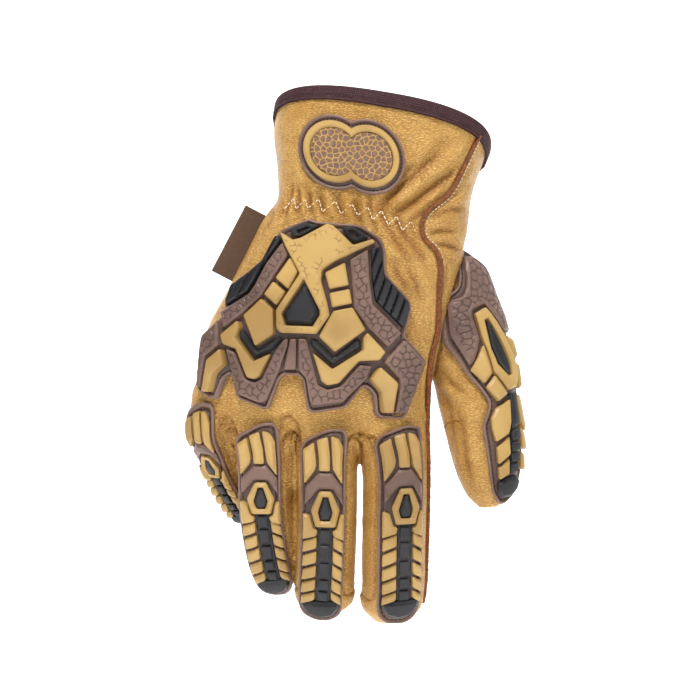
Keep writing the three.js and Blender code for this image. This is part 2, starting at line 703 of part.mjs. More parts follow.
// Moulded plate: a flat outline, with a hole or none, wrapped on a surface between two heights.
function wrappedPlate(outline, hole, place, low, high, longest) {
  const points = outline.map(([x, y]) => new THREE.Vector2(x, y));
  const holes = hole ? [hole.map(([x, y]) => new THREE.Vector2(x, y))] : [];
  if (THREE.ShapeUtils.isClockWise(points)) {
    points.reverse();
  }
  for (const ring of holes) {
    if (!THREE.ShapeUtils.isClockWise(ring)) {
      ring.reverse();
    }
  }
  const flat = THREE.ShapeUtils.triangulateShape(points, holes);
  const sheet = points.concat(...holes);
  const triangles = splitLongEdges(sheet, flat, longest);
  const size = sheet.length;
  const vertices = [low, high].flatMap((height) => sheet.map((p) => place(p.x, p.y, height)));
  const faces = triangles.flatMap(([a, b, c]) => [[a + size, b + size, c + size], [a, c, b]]);
  const open = new Set(triangles.flatMap(([a, b, c]) => [`${a}:${b}`, `${b}:${c}`, `${c}:${a}`]));
  for (const edge of open) {
    const [a, b] = edge.split(':').map(Number);
    if (!open.has(`${b}:${a}`)) {
      faces.push([a, b, b + size], [a, b + size, a + size]);
    }
  }
  return solidFrom(vertices, faces);
}

// Leather shell: the outer form of the hand less the same form one wall in.
const fingerNames = ['index', 'middle', 'ring', 'little'];
const fingers = fingerNames.map((name) => digits[name]);

function handForm(offset, above, sides = sleeveSides, fingerSides = digitSides) {
  return union([
    sleeveSolid(offset, above, offset, sides),
    ...fingers.map((digit) => digitSolid(digit, offset, fingerSides)),
  ]);
}

const rimMargin = 6;
const outerForm = handForm(0, 0);
const innerForm = handForm(-leatherWall, rimMargin, liningSides, digitLiningSides);
const thumbOuter = digitSolid(digits.thumb, 0);
const thumbInner = digitSolid(digits.thumb, -leatherWall, digitLiningSides);
const clearForm = handForm(seatGap, rimMargin).add(digitSolid(digits.thumb, seatGap));
const clearSleeve = sleeveSolid(seatGap, rimMargin, seatGap, sleeveSides);

// Box-like solid along a digit, on one side of its middle, used to part the leather.
function digitHalf(digit, grow) {
  const reach = digit.depth;
  const chosen = digit.sections.filter(
    (section, i, all) => i % digitPartingStep === 0 || i === all.length - 1,
  );
  const rings = chosen.map((section) => {
    const half = section.half + seamGap + grow;
    const corner = (across, back) => section.centre.clone()
      .addScaledVector(section.side, across)
      .addScaledVector(section.back, back);
    return [corner(-half, grow), corner(half, grow), corner(half, -reach), corner(-half, -reach)];
  });
  const end = rings[rings.length - 1].map((p) => p.clone().setZ(p.z - reach));
  return loft([...rings, end]);
}

// Space between the facing sides of two fingers, where the side strip lies.
const fourchetteCut = 0.72;
const fourchetteReach = 0.9;
const fourchetteEndGaps = 3;
function betweenFingers({ first, second, firstSpan, secondSpan }, grow) {
  const facing = first.sections[0].back.clone().add(second.sections[0].back).normalize();
  const edge = (digit, span, share, sign) => {
    const longer = (fourchetteEndGaps * grow) / digit.length;
    const section = digitSection(digit, mix(span[0] - longer, span[1] + longer, share));
    const across = sign * (fourchetteCut * section.half - grow);
    return [fourchetteReach, -fourchetteReach].map((back) => section.centre.clone()
      .addScaledVector(section.side, across)
      .addScaledVector(facing, back * digit.depth));
  };
  const rings = [];
  for (let i = 0; i <= fourchetteRows; i += 1) {
    const [a, b] = edge(first, firstSpan, i / fourchetteRows, -1);
    const [c, d] = edge(second, secondSpan, i / fourchetteRows, 1);
    rings.push([a, b, d, c]);
  }
  return loft(rings);
}

// Palm side of the whole hand, and the thumb side of the seam on the back.
const unsplit = { across: Infinity, along: Infinity };
function palmRegion(grow) {
  const reach = palmBreadth;
  const rows = sleeveRows
    .filter((row, i) => i % palmPartingStep === 0 || i === sleeveRows.length - 1)
    .map(([drop]) => sleeveSection(drop));
  const palmSide = loft([-reach, reach].map((x) => [
    new THREE.Vector3(x, rows[0].forward - grow, palmDepth),
    ...rows.map((row) => new THREE.Vector3(x, row.forward - grow, row.drop)),
    new THREE.Vector3(x, reach, -palmLength),
    new THREE.Vector3(x, reach, palmDepth),
  ]));
  const seam = seamPath.map(([side, drop]) => [side * palmBreadth - grow, -drop * palmLength]);
  const [topSide] = seam[0];
  const outline = [[reach, palmDepth], [topSide, palmDepth], ...seam, [reach, -palmLength]];
  const thumbSide = wrappedPlate(outline, null, (x, z, y) => new THREE.Vector3(x, y, z), -reach, 0, unsplit);
  return union([palmSide, thumbSide, ...fingers.map((digit) => digitHalf(digit, grow))]);
}

// Side strips, with the stretch of each finger that they follow as shares of its length.
const fourchettes = {
  fourchette_index_middle: {
    first: digits.index, second: digits.middle, firstSpan: [0.15, 0.86], secondSpan: [0.15, 0.86],
  },
  fourchette_middle_ring: {
    first: digits.middle, second: digits.ring, firstSpan: [0.07, 0.86], secondSpan: [0.11, 0.86],
  },
  fourchette_ring_little: {
    first: digits.ring, second: digits.little, firstSpan: [0.10, 0.60], secondSpan: [0.14, 0.90],
  },
};
const half = seamGap / 2;
const shell = outerForm.subtract(innerForm).subtract(digitSolid(digits.thumb, half));
const strips = Object.entries(fourchettes).map(
  ([name, strip]) => [name, largest(shell.intersect(betweenFingers(strip, -half)))],
);
const open = Object.values(fourchettes).reduce(
  (solid, strip) => solid.subtract(betweenFingers(strip, half)),
  shell.subtract(union(strips.map(([, strip]) => strip))),
);
const palmPanel = largest(open.intersect(palmRegion(-half)));
const backPanel = largest(open.subtract(palmRegion(half)).subtract(palmPanel));
const thumbPanel = largest(thumbOuter.subtract(thumbInner).subtract(handForm(half, rimMargin)));

// Tape folded over the edge of the cuff.
function cuffBinding() {
  const inner = -leatherWall - seatGap - liningSlack;
  const profile = [
    [seatGap + bindingThickness, -bindingWidth],
    [seatGap + bindingThickness, seatGap + bindingThickness],
    [inner - bindingThickness, seatGap + bindingThickness],
    [inner - bindingThickness, -bindingWidth],
    [inner, -bindingWidth],
    [inner, seatGap],
    [seatGap, seatGap],
    [seatGap, -bindingWidth],
  ];
  const rings = [];
  for (let i = 0; i < sleeveSides; i += 1) {
    const angle = (i * 2 * Math.PI) / sleeveSides;
    const place = ([offset, level]) => sleevePoint(sleeveSection(-level / palmLength), angle, offset);
    rings.push(profile.map(place));
  }
  return closedLoft(rings);
}

// Levels of a moulded sheet's underside and top, and of the plates on it, above the leather.
const sheetLow = seatGap + facetSlack;
const guardTop = sheetLow + flangeThickness;
const plateLow = guardTop + plateGap;

// Raw edge of the seam, standing on the leather from the cuff to the tip of the index finger.
function seamWelt() {
  const index = digits.index;
  const bottom = seatGap;
  const top = bottom + weltHeight;
  const rings = [];
  const addRing = (place, next) => {
    const along = next(bottom).sub(place(bottom)).normalize();
    const up = place(top).sub(place(bottom)).normalize();
    const side = new THREE.Vector3().crossVectors(along, up).normalize().multiplyScalar(weltThickness / 2);
    rings.push([
      place(bottom).sub(side), place(bottom).add(side), place(top).add(side), place(top).sub(side),
    ]);
  };
  const startDrop = (bindingWidth + seatGap + weltStartGap) / palmLength;
  const path = seamPath.filter(([, drop]) => drop > startDrop && drop < index.rootDrop);
  for (const [i, [side, drop]] of path.entries()) {
    const [nextSide, nextDrop] = path[Math.min(i + 1, path.length - 1)];
    const [lastSide, lastDrop] = path[Math.max(i - 1, 0)];
    const here = (h) => onHand(side * palmBreadth, -drop * palmLength, h);
    const ahead = (h) => here(h).add(new THREE.Vector3(
      (nextSide - lastSide) * palmBreadth,
      0,
      -(nextDrop - lastDrop) * palmLength,
    ));
    addRing(here, ahead);
  }
  const end = (weltEndDrop - index.rootDrop) * (palmLength / index.length);
  const step = (end - weltFingerStart) / (weltFingerRings - 1);
  for (let i = 0; i < weltFingerRings; i += 1) {
    const down = weltFingerStart + i * step;
    const at = (share) => (h) => onDigit(index, weltFingerSide, share, h);
    addRing(at(down), at(down + step));
  }
  return loft(rings).subtract(clearForm);
}

// Folded label in the side seam, standing out from the little finger's side.
function sideTag() {
  const [upper, lower] = tagDrops.map((drop) => {
    const section = sleeveSection(drop);
    return sleevePoint(section, Math.PI, seatGap).setY(section.forward);
  });
  const along = lower.clone().sub(upper).setLength(tagLength);
  const out = new THREE.Vector3(along.z, 0, -along.x).setLength(tagWidth);
  const thick = new THREE.Vector3(0, tagThickness, 0);
  const inset = out.clone().multiplyScalar(-tagRootShare);
  const face = [
    upper.clone().add(inset), upper.clone().add(out),
    upper.clone().add(out).add(along), upper.clone().add(inset).add(along),
  ];
  const tag = loft([face.map((p) => p.clone().sub(thick)), face]);
  return largest(tag.subtract(clearForm));
}

// Outline of two overlapping round lobes, in the front view.
function lobedOutline(radius) {
  const reach = badgeLobeSpacing / 2;
  const waist = Math.acos(reach / radius);
  const outline = [];
  for (const side of [1, -1]) {
    for (let i = 0; i <= badgeArcSteps; i += 1) {
      const angle = mix(waist - Math.PI, Math.PI - waist, i / badgeArcSteps) + (side > 0 ? 0 : Math.PI);
      const x = side * reach + radius * Math.cos(angle);
      const y = radius * Math.sin(angle);
      outline.push([
        badgeCentre[0] * palmBreadth + x,
        -badgeCentre[1] * palmLength + y + x * badgeSlope,
      ]);
    }
  }
  return outline.filter((p, i, all) => {
    const [x, y] = all[(i + 1) % all.length];
    return Math.hypot(p[0] - x, p[1] - y) > seatGap;
  });
}

function badgeBase() {
  const flange = wrappedPlate(
    lobedOutline(badgeLobeRadius), null, onHand, sheetLow, sheetLow + badgeThickness, handEdge,
  );
  const inside = badgeLobeRadius - badgeFlange - badgeRingWidth - 2 * plateGap;
  const relief = wrappedPlate(
    lobedOutline(inside), null, onHand, sheetLow + badgeThickness / 2,
    sheetLow + badgeThickness + badgeRelief, handEdge,
  );
  return flange.add(relief).subtract(clearSleeve);
}

function badgeRing() {
  const outside = badgeLobeRadius - badgeFlange;
  const low = sheetLow + badgeThickness + plateGap;
  const hole = lobedOutline(outside - badgeRingWidth);
  return wrappedPlate(lobedOutline(outside), hole, onHand, low, low + badgeRingHeight, handEdge);
}

// Guard on the back of the hand
function handOutline(outline) {
  return outline.map(([across, down]) => [
    guardLeftSide * palmBreadth + (across / 100) * guardBreadth,
    -guardTopDrop * palmLength - (down / 100) * guardHeight,
  ]);
}

function handGuardBase() {
  return largest(
    wrappedPlate(handOutline(frameOutline), null, onHand, sheetLow, guardTop, handEdge).subtract(clearForm),
  );
}

function handPlate({ outline, hole, height }) {
  return wrappedPlate(
    handOutline(outline), hole ? handOutline(hole) : null, onHand, plateLow, plateLow + height, handEdge,
  );
}

// Guards on the digits
function digitPlacer(digit) {
  const { from, to, spread } = digit.guard;
  const widest = digit.width;
  return {
    place: (x, y, height) => onDigit(
      digit,
      (x / widest) * 2 * spread,
      mix(from, to, y / digit.length / (to - from)),
      height,
    ),
    flatten: (outline) => outline.map(([across, down]) => [
      (across * widest) / 2,
      down * digit.length * (to - from),
    ]),
  };
}

function digitPlate(digit, outline, hole, low, high) {
  const { place, flatten } = digitPlacer(digit);
  return wrappedPlate(flatten(outline), hole ? flatten(hole) : null, place, low, high, digitEdge);
}

// Strip along a digit through stations of [down, left, right, height], flat to its underside.
function digitStrip(digit, stations, low, columns) {
  const { place, flatten } = digitPlacer(digit);
  const rings = stations.map(([down, left, right, height]) => {
    const edge = [];
    for (let i = 0; i <= columns; i += 1) {
      edge.push([mix(left, right, i / columns), down]);
    }
    const flat = flatten(edge);
    return [
      ...flat.map(([x, y]) => place(x, y, low)),
      ...flat.reverse().map(([x, y]) => place(x, y, low + height)),
    ];
  });
  return loft(rings);
}

// Block standing on a carrier, rooted halfway into it.
function raisedBlock(digit, outline, height) {
  return digitPlate(digit, outline, null, plateLow + carrierThickness / 2, plateLow + height);
}

function digitGuardBase(digit, layout) {
  const stations = layout.base.map((station) => [...station, flangeThickness]);
  const sheet = digitStrip(digit, stations, sheetLow, 4);
  const collarLow = guardTop - flangeThickness / 2;
  const collar = digitPlate(digit, layout.collar, null, collarLow, guardTop + collarPlate);
  return largest(sheet.add(collar).subtract(clearForm));
}

function digitRidges(digit, { ridges, ridgeCarrier }) {
  return union([
    digitPlate(digit, ridgeCarrier, null, plateLow, plateLow + carrierThickness),
    ...ridges.map((ridge) => raisedBlock(digit, ridge, ridgePlate)),
  ]);
}

// Ring plate with a row of overlapping scales below it on each side of the spine.
const ringLow = plateLow + carrierThickness + plateGap;
const stepShare = 0.004;

function scaleStrip(digit, { inner, outer, rows }, start) {
  const [left, right] = inner < outer ? [inner, outer] : [outer, inner];
  const joint = ringLow - plateLow + scalePlate / 2;
  const stations = [[start, left, right, joint], [rows[0][0] - stepShare, left, right, joint]];
  for (const [top, bottom] of rows) {
    stations.push([top, left, right, scalePlate / 2], [bottom, left, right, scalePlate]);
  }
  return digitStrip(digit, stations, plateLow, 1);
}

function digitScales(digit, { ring, ringHole, scales, scaleStart }) {
  return union([
    digitPlate(digit, ring, ringHole, ringLow, ringLow + scalePlate),
    ...scales.map((side) => scaleStrip(digit, side, scaleStart)),
  ]);
}

// On the thumb, bridges join the scales to the ring plate and across the spine.
function thumbScales(digit) {
  const bridge = (ends) => digitStrip(digit, ends.map((end) => [...end, carrierThickness]), ringLow, 2);
  return union([digitScales(digit, thumbGuard), ...thumbGuard.bridges.map(bridge)]);
}

function digitSpine(digit, { insert, spine, spineBlocks, tipCap }) {
  const [left, right] = spine;
  const [topDown] = insert[insert.length - 1];
  const stations = insert.map((station) => [...station, scalePlate]);
  stations.push([topDown + stepShare, left, right, carrierThickness]);
  for (const [top, bottom] of spineBlocks) {
    stations.push(
      [top - stepShare, left, right, carrierThickness],
      [top, left, right, spineBlock],
      [bottom, left, right, spineBlock],
      [bottom + stepShare, left, right, carrierThickness],
    );
  }
  stations.push([tipCap[0][0] - stepShare, left, right, carrierThickness]);
  stations.push(...tipCap.map((station) => [...station, scalePlate]));
  return digitStrip(digit, stations, plateLow, 2);
}

// Named mesh of a solid.
function meshOf(name, solid, finish) {
  const { numProp, vertProperties, triVerts } = solid.getMesh();
  const positions = new Float32Array((vertProperties.length / numProp) * 3);
  for (let i = 0; i < positions.length / 3; i += 1) {
    positions.set(vertProperties.subarray(i * numProp, i * numProp + 3), i * 3);
  }
  const geometry = new THREE.BufferGeometry();
  geometry.setAttribute('position', new THREE.BufferAttribute(positions, 3));
  geometry.setIndex(new THREE.BufferAttribute(Uint32Array.from(triVerts), 1));
  geometry.computeVertexNormals();
  const mesh = new THREE.Mesh(geometry, finishes[finish]);
  mesh.name = name;
  return mesh;
}

const glove = new THREE.Group();
glove.name = 'driver_glove';
glove.add(meshOf('back_panel', backPanel, 'leather'));
glove.add(meshOf('palm_panel', palmPanel, 'leather'));
glove.add(meshOf('thumb_panel', thumbPanel, 'leather'));
for (const [name, strip] of strips) {
  glove.add(meshOf(name, strip, 'leatherDark'));
}
glove.add(meshOf('cuff_binding', cuffBinding(), 'binding'));
glove.add(meshOf('seam_welt', seamWelt(), 'suede'));
glove.add(meshOf('side_tag', sideTag(), 'binding'));
glove.add(meshOf('badge_base', badgeBase(), 'brown'));
glove.add(meshOf('badge_ring', badgeRing(), 'tan'));
glove.add(meshOf('hand_guard_base', handGuardBase(), 'brown'));
for (const [name, plate] of Object.entries(plates)) {
  glove.add(meshOf(name, handPlate(plate), plate.finish));
}
for (const [name, digit] of Object.entries(digits)) {
  const layout = name === 'thumb' ? thumbGuard : fingerGuard;
  const scales = name === 'thumb' ? thumbScales(digit) : digitScales(digit, layout);
  glove.add(meshOf(`${name}_guard_base`, digitGuardBase(digit, layout), 'brown'));
  glove.add(meshOf(`${name}_ridges`, digitRidges(digit, layout), 'tan'));
  glove.add(meshOf(`${name}_scales`, scales, 'tan'));
  glove.add(meshOf(`${name}_spine`, digitSpine(digit, layout), 'black'));
}

export default glove;
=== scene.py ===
"""Dressed model of a right-hand leather work glove with moulded guards, filled out as on a hand.

Lengths in the tables are millimetres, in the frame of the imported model: the origin is the centre
of the cuff's opening, +X is the thumb side, -Y the back of the hand and +Z points out of the cuff.
"""

from __future__ import annotations

import json
import logging
import math
from dataclasses import dataclass, field, replace
from enum import Enum
from functools import cached_property
from typing import Callable, Sequence

import bpy
import numpy as np
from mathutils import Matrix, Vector
from mathutils.geometry import delaunay_2d_cdt

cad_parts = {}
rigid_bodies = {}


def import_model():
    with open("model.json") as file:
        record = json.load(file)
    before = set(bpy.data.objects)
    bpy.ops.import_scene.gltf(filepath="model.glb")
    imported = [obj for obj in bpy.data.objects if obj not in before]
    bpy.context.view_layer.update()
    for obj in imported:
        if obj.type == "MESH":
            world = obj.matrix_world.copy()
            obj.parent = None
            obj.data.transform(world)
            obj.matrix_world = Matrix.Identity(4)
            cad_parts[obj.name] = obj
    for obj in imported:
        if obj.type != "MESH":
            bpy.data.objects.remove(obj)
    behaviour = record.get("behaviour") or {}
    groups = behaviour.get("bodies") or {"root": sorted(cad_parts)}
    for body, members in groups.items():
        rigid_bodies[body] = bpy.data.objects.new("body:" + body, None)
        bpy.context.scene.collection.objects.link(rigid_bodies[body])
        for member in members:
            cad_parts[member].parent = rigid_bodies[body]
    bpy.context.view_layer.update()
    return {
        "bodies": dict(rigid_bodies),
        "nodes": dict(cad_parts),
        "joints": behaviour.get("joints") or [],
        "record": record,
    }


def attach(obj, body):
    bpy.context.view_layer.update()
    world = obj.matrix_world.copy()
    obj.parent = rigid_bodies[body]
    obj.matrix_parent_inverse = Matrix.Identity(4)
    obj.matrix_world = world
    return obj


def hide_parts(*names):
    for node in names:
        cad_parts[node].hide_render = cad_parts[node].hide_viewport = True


Array = np.ndarray
Outline = tuple[tuple[float, float], ...]
Placer = Callable[[Array, Array, Array], Array]
Node = bpy.types.Node
Socket = bpy.types.NodeSocket
Material = bpy.types.Material

LOG = logging.getLogger("work_glove")
METRES = 0.001
SEED = 7


# Shapes as arrays


@dataclass
class Shape:
    """Points with triangles and quads, and a number for each point under each mask's name."""

    points: Array
    tris: Array = field(default_factory=lambda: np.zeros((0, 3), int))
    quads: Array = field(default_factory=lambda: np.zeros((0, 4), int))
    masks: dict[str, Array] = field(default_factory=dict)

    def all_tris(self) -> Array:
        """Triangles with each quad split in two."""
        return np.vstack([self.tris, self.quads[:, [0, 1, 2]], self.quads[:, [0, 2, 3]]])

    def outward(self) -> Shape:
        """Same closed shape with its faces turned outwards, by the sign of its volume."""
        corners = self.points[self.all_tris()]
        volume = np.einsum("ij,ij->", corners[:, 0], np.cross(corners[:, 1], corners[:, 2]))
        if volume >= 0:
            return self
        return Shape(self.points, self.tris[:, ::-1], self.quads[:, ::-1], self.masks)


def joined(shapes: Sequence[Shape]) -> Shape:
    """Several shapes as one, keeping their masks.

    Args:
        shapes: The shapes; a mask that one of them lacks is 0 on it.

    Returns:
        One shape with all their points and faces.
    """
    starts = np.cumsum([0] + [len(shape.points) for shape in shapes])
    names = sorted({name for shape in shapes for name in shape.masks})
    return Shape(
        np.vstack([shape.points for shape in shapes]),
        np.vstack([shape.tris + start for shape, start in zip(shapes, starts)]),
        np.vstack([shape.quads + start for shape, start in zip(shapes, starts)]),
        {
            name: np.concatenate([shape.masks.get(name, np.zeros(len(shape.points))) for shape in shapes])
            for name in names
        },
    )


def smooth_rows(keys: Array, values: Array, at: Array) -> Array:
    """Values of a table read smoothly between its rows.

    Cubic pieces between the rows. The slope at a row is the mean of those on its two sides, or 0
    where they differ in sign, so that nothing overshoots, and the ends go straight on.

    Args:
        keys: Increasing key of each row.
        values: Row values, one column for each quantity.
        at: Keys to read at, in an array of any shape.

    Returns:
        An array of the shape of at, with one more axis for the columns.
    """
    gap = np.diff(keys)
    slope = np.diff(values, axis=0) / gap[:, None]
    weight = gap[:-1, None] + gap[1:, None]
    inner = (slope[:-1] * gap[1:, None] + slope[1:] * gap[:-1, None]) / weight
    inner = np.where(slope[:-1] * slope[1:] > 0, inner, 0)
    tangent = np.vstack([slope[:1], inner, slope[-1:]])
    held = np.clip(at, keys[0], keys[-1])
    i = np.clip(np.searchsorted(keys, held, side="right") - 1, 0, len(gap) - 1)
    h = gap[i][..., None]
    t = ((held - keys[i]) / gap[i])[..., None]
    value = (1 + 2 * t) * (1 - t) ** 2 * values[i] + t * (1 - t) ** 2 * h * tangent[i]
    value = value + t**2 * (3 - 2 * t) * values[i + 1] + t**2 * (t - 1) * h * tangent[i + 1]
    beyond = np.where((at < keys[0])[..., None], slope[0], slope[-1])
    return value + (at - held)[..., None] * beyond


def squircle(angle: Array, squareness: float) -> tuple[Array, Array]:
    """Cosine and sine, each raised to 2 / squareness with its sign kept: a rounded rectangle."""
    power = 2 / squareness
    c, s = np.cos(angle), np.sin(angle)
    return np.sign(c) * np.abs(c) ** power, np.sign(s) * np.abs(s) ** power


def unit(vectors: Array) -> Array:
    """Vectors at length 1, along the last axis."""
    return vectors / (np.linalg.norm(vectors, axis=-1, keepdims=True) + 1e-12)


def ramp(values: Array, low: float, high: float) -> Array:
    """Smooth step from 0 at low to 1 at high."""
    t = np.clip((values - low) / (high - low), 0, 1)
    return t * t * (3 - 2 * t)


def lattice_noise(points: Array, size: float, seed: int) -> Array:
    """Smooth random values between -1 and 1.

    Random values on a cubic lattice, blended inside each cube by smooth steps along its axes.

    Args:
        points: Places, one a row.
        size: Edge of a lattice cube.
        seed: Seed of the lattice's values.

    Returns:
        A value for each place.
    """
    table = np.random.default_rng(seed).uniform(-1, 1, 4096)
    cell = np.floor(points / size).astype(int)
    t = points / size - cell
    t = t * t * (3 - 2 * t)
    total = np.zeros(len(points))
    for corner in np.ndindex(2, 2, 2):
        at = cell + corner
        key = (at[:, 0] * 73856093 ^ at[:, 1] * 19349663 ^ at[:, 2] * 83492791) & 4095
        total += table[key] * np.prod(np.where(corner, t, 1 - t), axis=1)
    return total


def polyline_distance(points: Array, line: Array) -> Array:
    """Distance of each point to the nearest stretch of an open polyline.

    Args:
        points: Places, one a row.
        line: Corners of the polyline, in the same number of dimensions.

    Returns:
        A distance for each place: the least over the stretches, each clamped to its ends.
    """
    best = np.full(len(points), np.inf)
    for start, end in zip(line[:-1], line[1:]):
        span = end - start
        offset = points - start
        share = np.clip(offset @ span / (span @ span), 0, 1)
        best = np.minimum(best, np.linalg.norm(offset - share[:, None] * span, axis=1))
    return best


def run_of(line: Array) -> Array:
    """Length of an open polyline up to each of its points."""
    return np.r_[0, np.cumsum(np.linalg.norm(np.diff(line, axis=0), axis=1))]


def read_at(at: Array, keys: Array, rows: Array) -> Array:
    """Rows of numbers read in proportion between increasing keys."""
    return np.stack([np.interp(at, keys, column) for column in rows.T], axis=1)


def resampled(line: Array, step: float) -> Array:
    """Smooth curve through an open polyline's corners, at about equal steps.

    Args:
        line: Corners of the polyline.
        step: Distance between the new points.

    Returns:
        Points at equal arc lengths of a cubic curve keyed by the polyline's own length.
    """
    keys = run_of(line)
    dense = smooth_rows(keys, line, np.linspace(0, keys[-1], 40 * len(line)))
    run = run_of(dense)
    return read_at(np.linspace(0, run[-1], max(2, int(run[-1] / step) + 1)), run, dense)


def lofted(grid: Array) -> Shape:
    """Closed shape through rings of points, with a fan of triangles over each end.

    Args:
        grid: Points indexed by ring, then by side.

    Returns:
        The shape, its faces outwards.
    """
    rings, sides = grid.shape[:2]
    index = np.arange(rings * sides).reshape(rings, sides)
    turned = np.roll(index, -1, axis=1)
    quads = np.stack([index[:-1], turned[:-1], turned[1:], index[1:]], axis=-1).reshape(-1, 4)
    points = np.vstack([grid.reshape(-1, 3), grid[0].mean(axis=0), grid[-1].mean(axis=0)])
    first, last = rings * sides, rings * sides + 1
    start = np.stack([turned[0], index[0], np.full(sides, first)], axis=1)
    end = np.stack([index[-1], turned[-1], np.full(sides, last)], axis=1)
    return Shape(points, np.vstack([start, end]), quads).outward()


def capsules(starts: Array, ends: Array, up: Array, radius: float, arch: float) -> Shape:
    """Stitches: short arched threads between pairs of points.

    Each is a tube whose middle rises by arch and whose radius shrinks to its ends, by the square
    root of 1 - (2u - 1)^4 along its length u.

    Args:
        starts: First end of each.
        ends: Last end of each.
        up: Direction away from the surface at each.
        radius: Radius of the thread.
        arch: Height of the middle over the ends.

    Returns:
        All of them in one shape.
    """
    rings, sides = 6, 6
    u = np.linspace(0.03, 0.97, rings)[None, :, None, None]
    angle = (np.arange(sides) * 2 * math.pi / sides)[None, None, :, None]
    along = unit(ends - starts)
    across = unit(np.cross(along, up))[:, None, None]
    upward = np.asarray(up)[:, None, None]
    start, end = starts[:, None, None], ends[:, None, None]
    thick = radius * np.sqrt(1 - (2 * u - 1) ** 4)
    grid = start + (end - start) * u + upward * arch * (1 - (2 * u - 1) ** 2)
    grid = grid + thick * (np.cos(angle) * across + np.sin(angle) * upward)
    return joined([lofted(one) for one in grid])


# Flat outlines and moulded plates


def rounded(outline: Sequence[Sequence[float]], radius: float, step: float) -> Array:
    """Closed outline with rounded corners, its edges split, running anticlockwise.

    Each corner is a quadratic curve from one edge to the next, starting a radius before it, or
    just under half of a shorter edge.

    Args:
        outline: Corners.
        radius: How far before a corner its curve starts.
        step: Longest stretch between the points given back.

    Returns:
        The outline's points.
    """
    points = np.asarray(outline, float)
    before = np.roll(points, 1, axis=0) - points
    after = np.roll(points, -1, axis=0) - points
    short = np.minimum(np.linalg.norm(before, axis=1), np.linalg.norm(after, axis=1))
    reach = np.minimum(radius, 0.45 * short)[:, None]
    start, end = points + unit(before) * reach, points + unit(after) * reach
    t = np.linspace(0, 1, 5)[None, :, None]
    curve = (1 - t) ** 2 * start[:, None] + 2 * t * (1 - t) * points[:, None] + t**2 * end[:, None]
    loop = curve.reshape(-1, 2)
    ahead = np.roll(loop, -1, axis=0) - loop
    counts = np.maximum(1, np.ceil(np.linalg.norm(ahead, axis=1) / step)).astype(int)
    share = np.arange(counts.sum()) - np.repeat(np.cumsum(counts) - counts, counts)
    share = (share / np.repeat(counts, counts))[:, None]
    dense = np.repeat(loop, counts, axis=0) + share * np.repeat(ahead, counts, axis=0)
    x, y = dense.T
    area = np.sum(x * np.roll(y, -1) - y * np.roll(x, -1))
    return dense if area > 0 else dense[::-1]


def inward(loop: Array) -> Array:
    """Directions to the left of a closed loop at its points: inwards where it is anticlockwise."""
    ahead = unit(np.roll(loop, -1, axis=0) - loop)
    left = np.stack([-ahead[:, 1], ahead[:, 0]], axis=1)
    return unit(left + np.roll(left, 1, axis=0))


def chunks(points: Array) -> list[Array]:
    """Points in parts small enough to be held against many others at once."""
    return np.array_split(points, len(points) // 1500 + 1)


def triangular_grid(low: Array, high: Array, spacing: float) -> Array:
    """Points over a box in rows, every other row moved by half the spacing.

    Args:
        low: Lower corner.
        high: Upper corner.
        spacing: Distance between neighbours.

    Returns:
        The points, one a row.
    """
    rows = np.arange(low[1], high[1], spacing * 0.866)
    x = np.arange(low[0], high[0], spacing)[None] + (np.arange(len(rows)) % 2 * spacing / 2)[:, None]
    return np.stack([x, np.broadcast_to(rows[:, None], x.shape)], axis=-1).reshape(-1, 2)


def border_distance(points: Array, loops: Sequence[Array]) -> Array:
    """Distance of each point to the nearest edge of some closed loops.

    Args:
        points: Flat points.
        loops: The loops.

    Returns:
        A distance for each point, each edge clamped to its ends.
    """
    start = np.vstack(loops)
    span = np.vstack([np.roll(loop, -1, axis=0) for loop in loops]) - start
    square = (span**2).sum(axis=1) + 1e-12
    parts = []
    for part in chunks(points):
        offset = part[:, None] - start
        share = np.clip((offset * span).sum(axis=-1) / square, 0, 1)
        away = offset - share[..., None] * span
        parts.append(np.sqrt((away**2).sum(axis=-1).min(axis=1)))
    return np.concatenate(parts)


def within(points: Array, loops: Sequence[Array]) -> Array:
    """Whether points lie inside closed loops: a line to the right crosses them an odd number of times.

    Args:
        points: Flat points.
        loops: The loops.

    Returns:
        True or false for each point.
    """
    start = np.vstack(loops)
    end = np.vstack([np.roll(loop, -1, axis=0) for loop in loops])
    parts = []
    for part in chunks(points):
        x, y = part[:, :1], part[:, 1:]
        spans = (start[:, 1] > y) != (end[:, 1] > y)
        rise = np.where(spans, end[:, 1] - start[:, 1], 1)
        cross = start[:, 0] + (y - start[:, 1]) * (end[:, 0] - start[:, 0]) / rise
        parts.append((spans & (x < cross)).sum(axis=1) % 2 == 1)
    return np.concatenate(parts)


@dataclass
class FlatSheet:
    """Flat triangulated outline with its points' distances to the edge, and its edge loops."""

    points: Array
    tris: Array
    edge: Array
    loops: list[Array]


